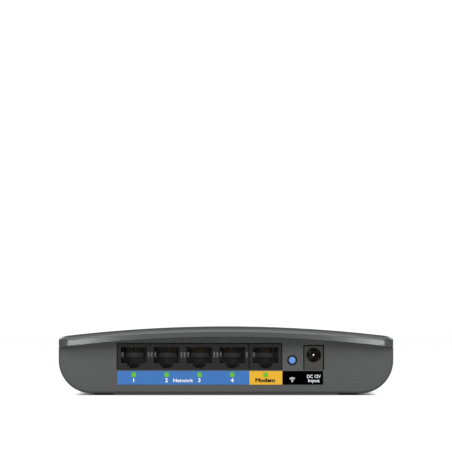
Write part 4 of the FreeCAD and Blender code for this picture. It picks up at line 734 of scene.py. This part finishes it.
# ---------------------------------------------------------------- parts on the board
def make_cans():
    """Electrolytic capacitors: a shrunk sleeve with a waist, and an aluminium top."""
    sleeves, tops = bmesh.new(), bmesh.new()
    waist = 1.6 * MM
    for low, high in solids_of("electrolytic_capacitors"):
        radius, height = (high.x - low.x) / 2, high.z - low.z
        rim, disc = height - 0.2 * MM, radius - 1.0 * MM
        outline = [(0.0, 0.0), (radius - 0.3 * MM, 0.0), (radius, 0.4 * MM), (radius, waist)]
        outline += [(radius - 0.45 * MM, waist + 0.35 * MM), (radius, waist + 0.8 * MM)]
        outline += [(radius, height - 0.5 * MM), (radius - 0.35 * MM, height - 0.08 * MM)]
        outline += [(disc, height - 0.12 * MM), (0.0, rim)]
        add_turned(sleeves, outline, foot_of(low, high))
        outline = [(0.0, rim), (disc, rim), (disc - 0.05 * MM, height), (0.0, height)]
        add_turned(tops, outline, foot_of(low, high))
    can = ["electrolytic_capacitors"]
    add_piece("capacitor_sleeves", sleeves, "sleeve", replaces=can)
    add_piece("capacitor_tops", tops, "sink_aluminium")


def make_coils():
    """Power inductors: a square ferrite base, a round core and the winding on it."""
    bodies, windings = bmesh.new(), bmesh.new()
    base, turns, first_turn = 1.0 * MM, 5, 1.05 * MM
    for low, high in solids_of("power_inductors"):
        radius, height = (high.x - low.x) / 2, high.z - low.z
        centre, neck = foot_of(low, high), radius * 0.5
        add_block(bodies, low, Vector((high.x, high.y, low.z + base)), 0.25 * MM)
        core = [(0.0, 0.9 * MM), (neck, 0.9 * MM), (neck, height - 0.9 * MM)]
        core += [(radius * 0.93, height - 0.8 * MM), (radius * 0.93, height - 0.2 * MM)]
        core += [(radius * 0.86, height), (0.0, height)]
        add_turned(bodies, core, centre)
        rise = (height - 2 * base) / turns
        ridges = [(neck, first_turn)]
        for turn in range(turns):
            start = first_turn + turn * rise
            ridges += [(radius * 0.84, start + 0.1 * rise), (radius * 0.88, start + 0.5 * rise)]
            ridges += [(radius * 0.84, start + 0.9 * rise)]
        ridges += [(neck, first_turn + turns * rise)]
        add_turned(windings, ridges + ridges[:1], centre)
    add_piece("inductor_bodies", bodies, "ferrite", replaces=["power_inductors"])
    add_piece("inductor_windings", windings, "copper")


LEAD_WIDTH = 0.6  # of the pitch
LEAD_BLOCKS = (  # start and end, as shares of the reach; low and high side, of the height
    (0.0, 0.45, 0.42, 0.58),
    (0.3, 0.5, 0.0, 0.58),
    (0.4, 1.0, 0.0, 0.14),
)


def add_leads(mesh, low, high, count, pitch, along, reach):
    """Gull-wing leads on two sides of a package, in rows along one axis ("x" or "y")."""
    row = "xy".index(along)
    out = 1 - row
    first = (low[row] + high[row]) / 2 - (count - 1) / 2 * pitch
    height = high.z - low.z
    for side, wall in ((-1, low[out]), (1, high[out])):
        for i in range(count):
            middle = first + i * pitch
            for start, end, bottom, top in LEAD_BLOCKS:
                ends = Vector(), Vector()
                across = sorted(wall + side * share * reach for share in (start, end))
                for corner, way, far, share in zip(ends, (-1, 1), across, (bottom, top)):
                    corner[row] = middle + way * pitch * LEAD_WIDTH / 2
                    corner[out] = far
                    corner.z = low.z + share * height
                add_block(mesh, *ends)


CHIPS = (  # node, leads to a side, their pitch in millimetres, their row's axis, their reach
    ("memory_chips", 20, 0.5, "y", 0.7),
    ("flash_chip", 12, 0.9, "x", 0.8),
    ("voltage_regulators", 3, 1.5, "x", 0.8),
    ("ethernet_transformer_module", 30, 1.2, "x", 1.0),
    ("internet_transformer_module", 11, 1.2, "x", 1.0),
    ("rectifier_diode", 1, 1.6, "y", 0.6),
)


def make_chips():
    """Moulded packages with a round mark at pin one, and their leads."""
    above, below = 0.004 * MM, -0.02 * MM
    mark = [(0.0, above), (0.4 * MM, above), (0.45 * MM, below), (0.0, below)]
    lift, inset = Vector((0, 0, 0.08 * MM)), 1.1 * MM
    for node, count, pitch, along, reach in CHIPS:
        packages, leads = bmesh.new(), bmesh.new()
        for low, high in solids_of(node):
            add_block(packages, low + lift, high, 0.12 * MM)
            add_leads(leads, low, high, count, pitch * MM, along, reach * MM)
            pin_one = Vector((low.x + inset, high.y - inset, high.z))
            add_turned(packages, mark, pin_one, steps=16)
        add_piece(node + "_packages", packages, "chip_black", replaces=[node])
        add_piece(node + "_leads", leads, "tin")


def make_small_parts():
    """Chip resistors and capacitors: a body between two soldered ends."""
    end, gap, rounding = 0.32 * MM, 0.03 * MM, 0.06 * MM
    for node, finish, slot in (
        ("chip_resistors", "resistor", "chip_black"),
        ("chip_capacitors", "ceramic", "ceramic"),
    ):
        bodies, ends = bmesh.new(), bmesh.new()
        for low, high in solids_of(node):
            inset = Vector((end, gap, gap))
            add_block(bodies, low + inset, high - inset, gap, 1)
            add_block(ends, low, Vector((low.x + end, high.y, high.z)), rounding)
            add_block(ends, Vector((high.x - end, low.y, low.z)), high, rounding)
        add_piece(node + "_bodies", bodies, finish, replaces=[node])
        add_piece(node + "_ends", ends, "tin")


def make_crystals():
    """Crystal cans: rounded ends on a flat flange."""
    flange, overlap, inset = 0.25 * MM, 0.2 * MM, Vector((0.3 * MM, 0.3 * MM, 0))
    cans = bmesh.new()
    for low, high in solids_of("crystal_oscillators"):
        add_block(cans, low, Vector((high.x, high.y, low.z + flange)), 0.08 * MM)
        add_block(cans, low + inset + Vector((0, 0, overlap)), high - inset, 0.25 * MM, 3)
    add_piece("crystal_cans", cans, "nickel", replaces=["crystal_oscillators"])


print_labels()
print_radio_mark()
make_feet()
make_button("pairing_button", "y", 1.55 * MM, "button_blue")
make_button("reset_button", "z", 1.5 * MM, "button_dark")
make_centre_pin()
make_rating_label()
make_socket_springs()
make_cans()
make_coils()
make_chips()
make_small_parts()
make_crystals()


# ---------------------------------------------------------------- the floor
def add_floor():
    """Pale paper that the camera sees as white, dark only where something nearly touches it."""
    half_width, contact_shadow, whiteness, burnt_share = 6.0, 3 * MM, 1.15, 0.85
    plane = bmesh.new()
    bmesh.ops.create_grid(plane, x_segments=1, y_segments=1, size=half_width)
    data = bpy.data.meshes.new("floor")
    plane.to_mesh(data)
    plane.free()
    paper = Finish("floor_paper", Roughness=0.9, Base_Color=(0.5, 0.5, 0.5, 1.0))
    near = {"Distance": contact_shadow}
    open_sky = paper.node("AmbientOcclusion", {"samples": 8}, near, "Color")
    burnt = paper.node("Emission", {}, {"Color": open_sky, "Strength": whiteness})
    seen = paper.node("LightPath", {}, {}, "Is Camera Ray") * burnt_share
    lit = Wire(paper, paper.shader.outputs[0])
    both = paper.node("MixShader", {}, {0: seen, 1: lit, 2: burnt})
    paper.connect(paper.tree.nodes["Material Output"].inputs["Surface"], both)
    data.materials.append(paper.material)
    floor = put_in_scene("floor", data)


add_floor()
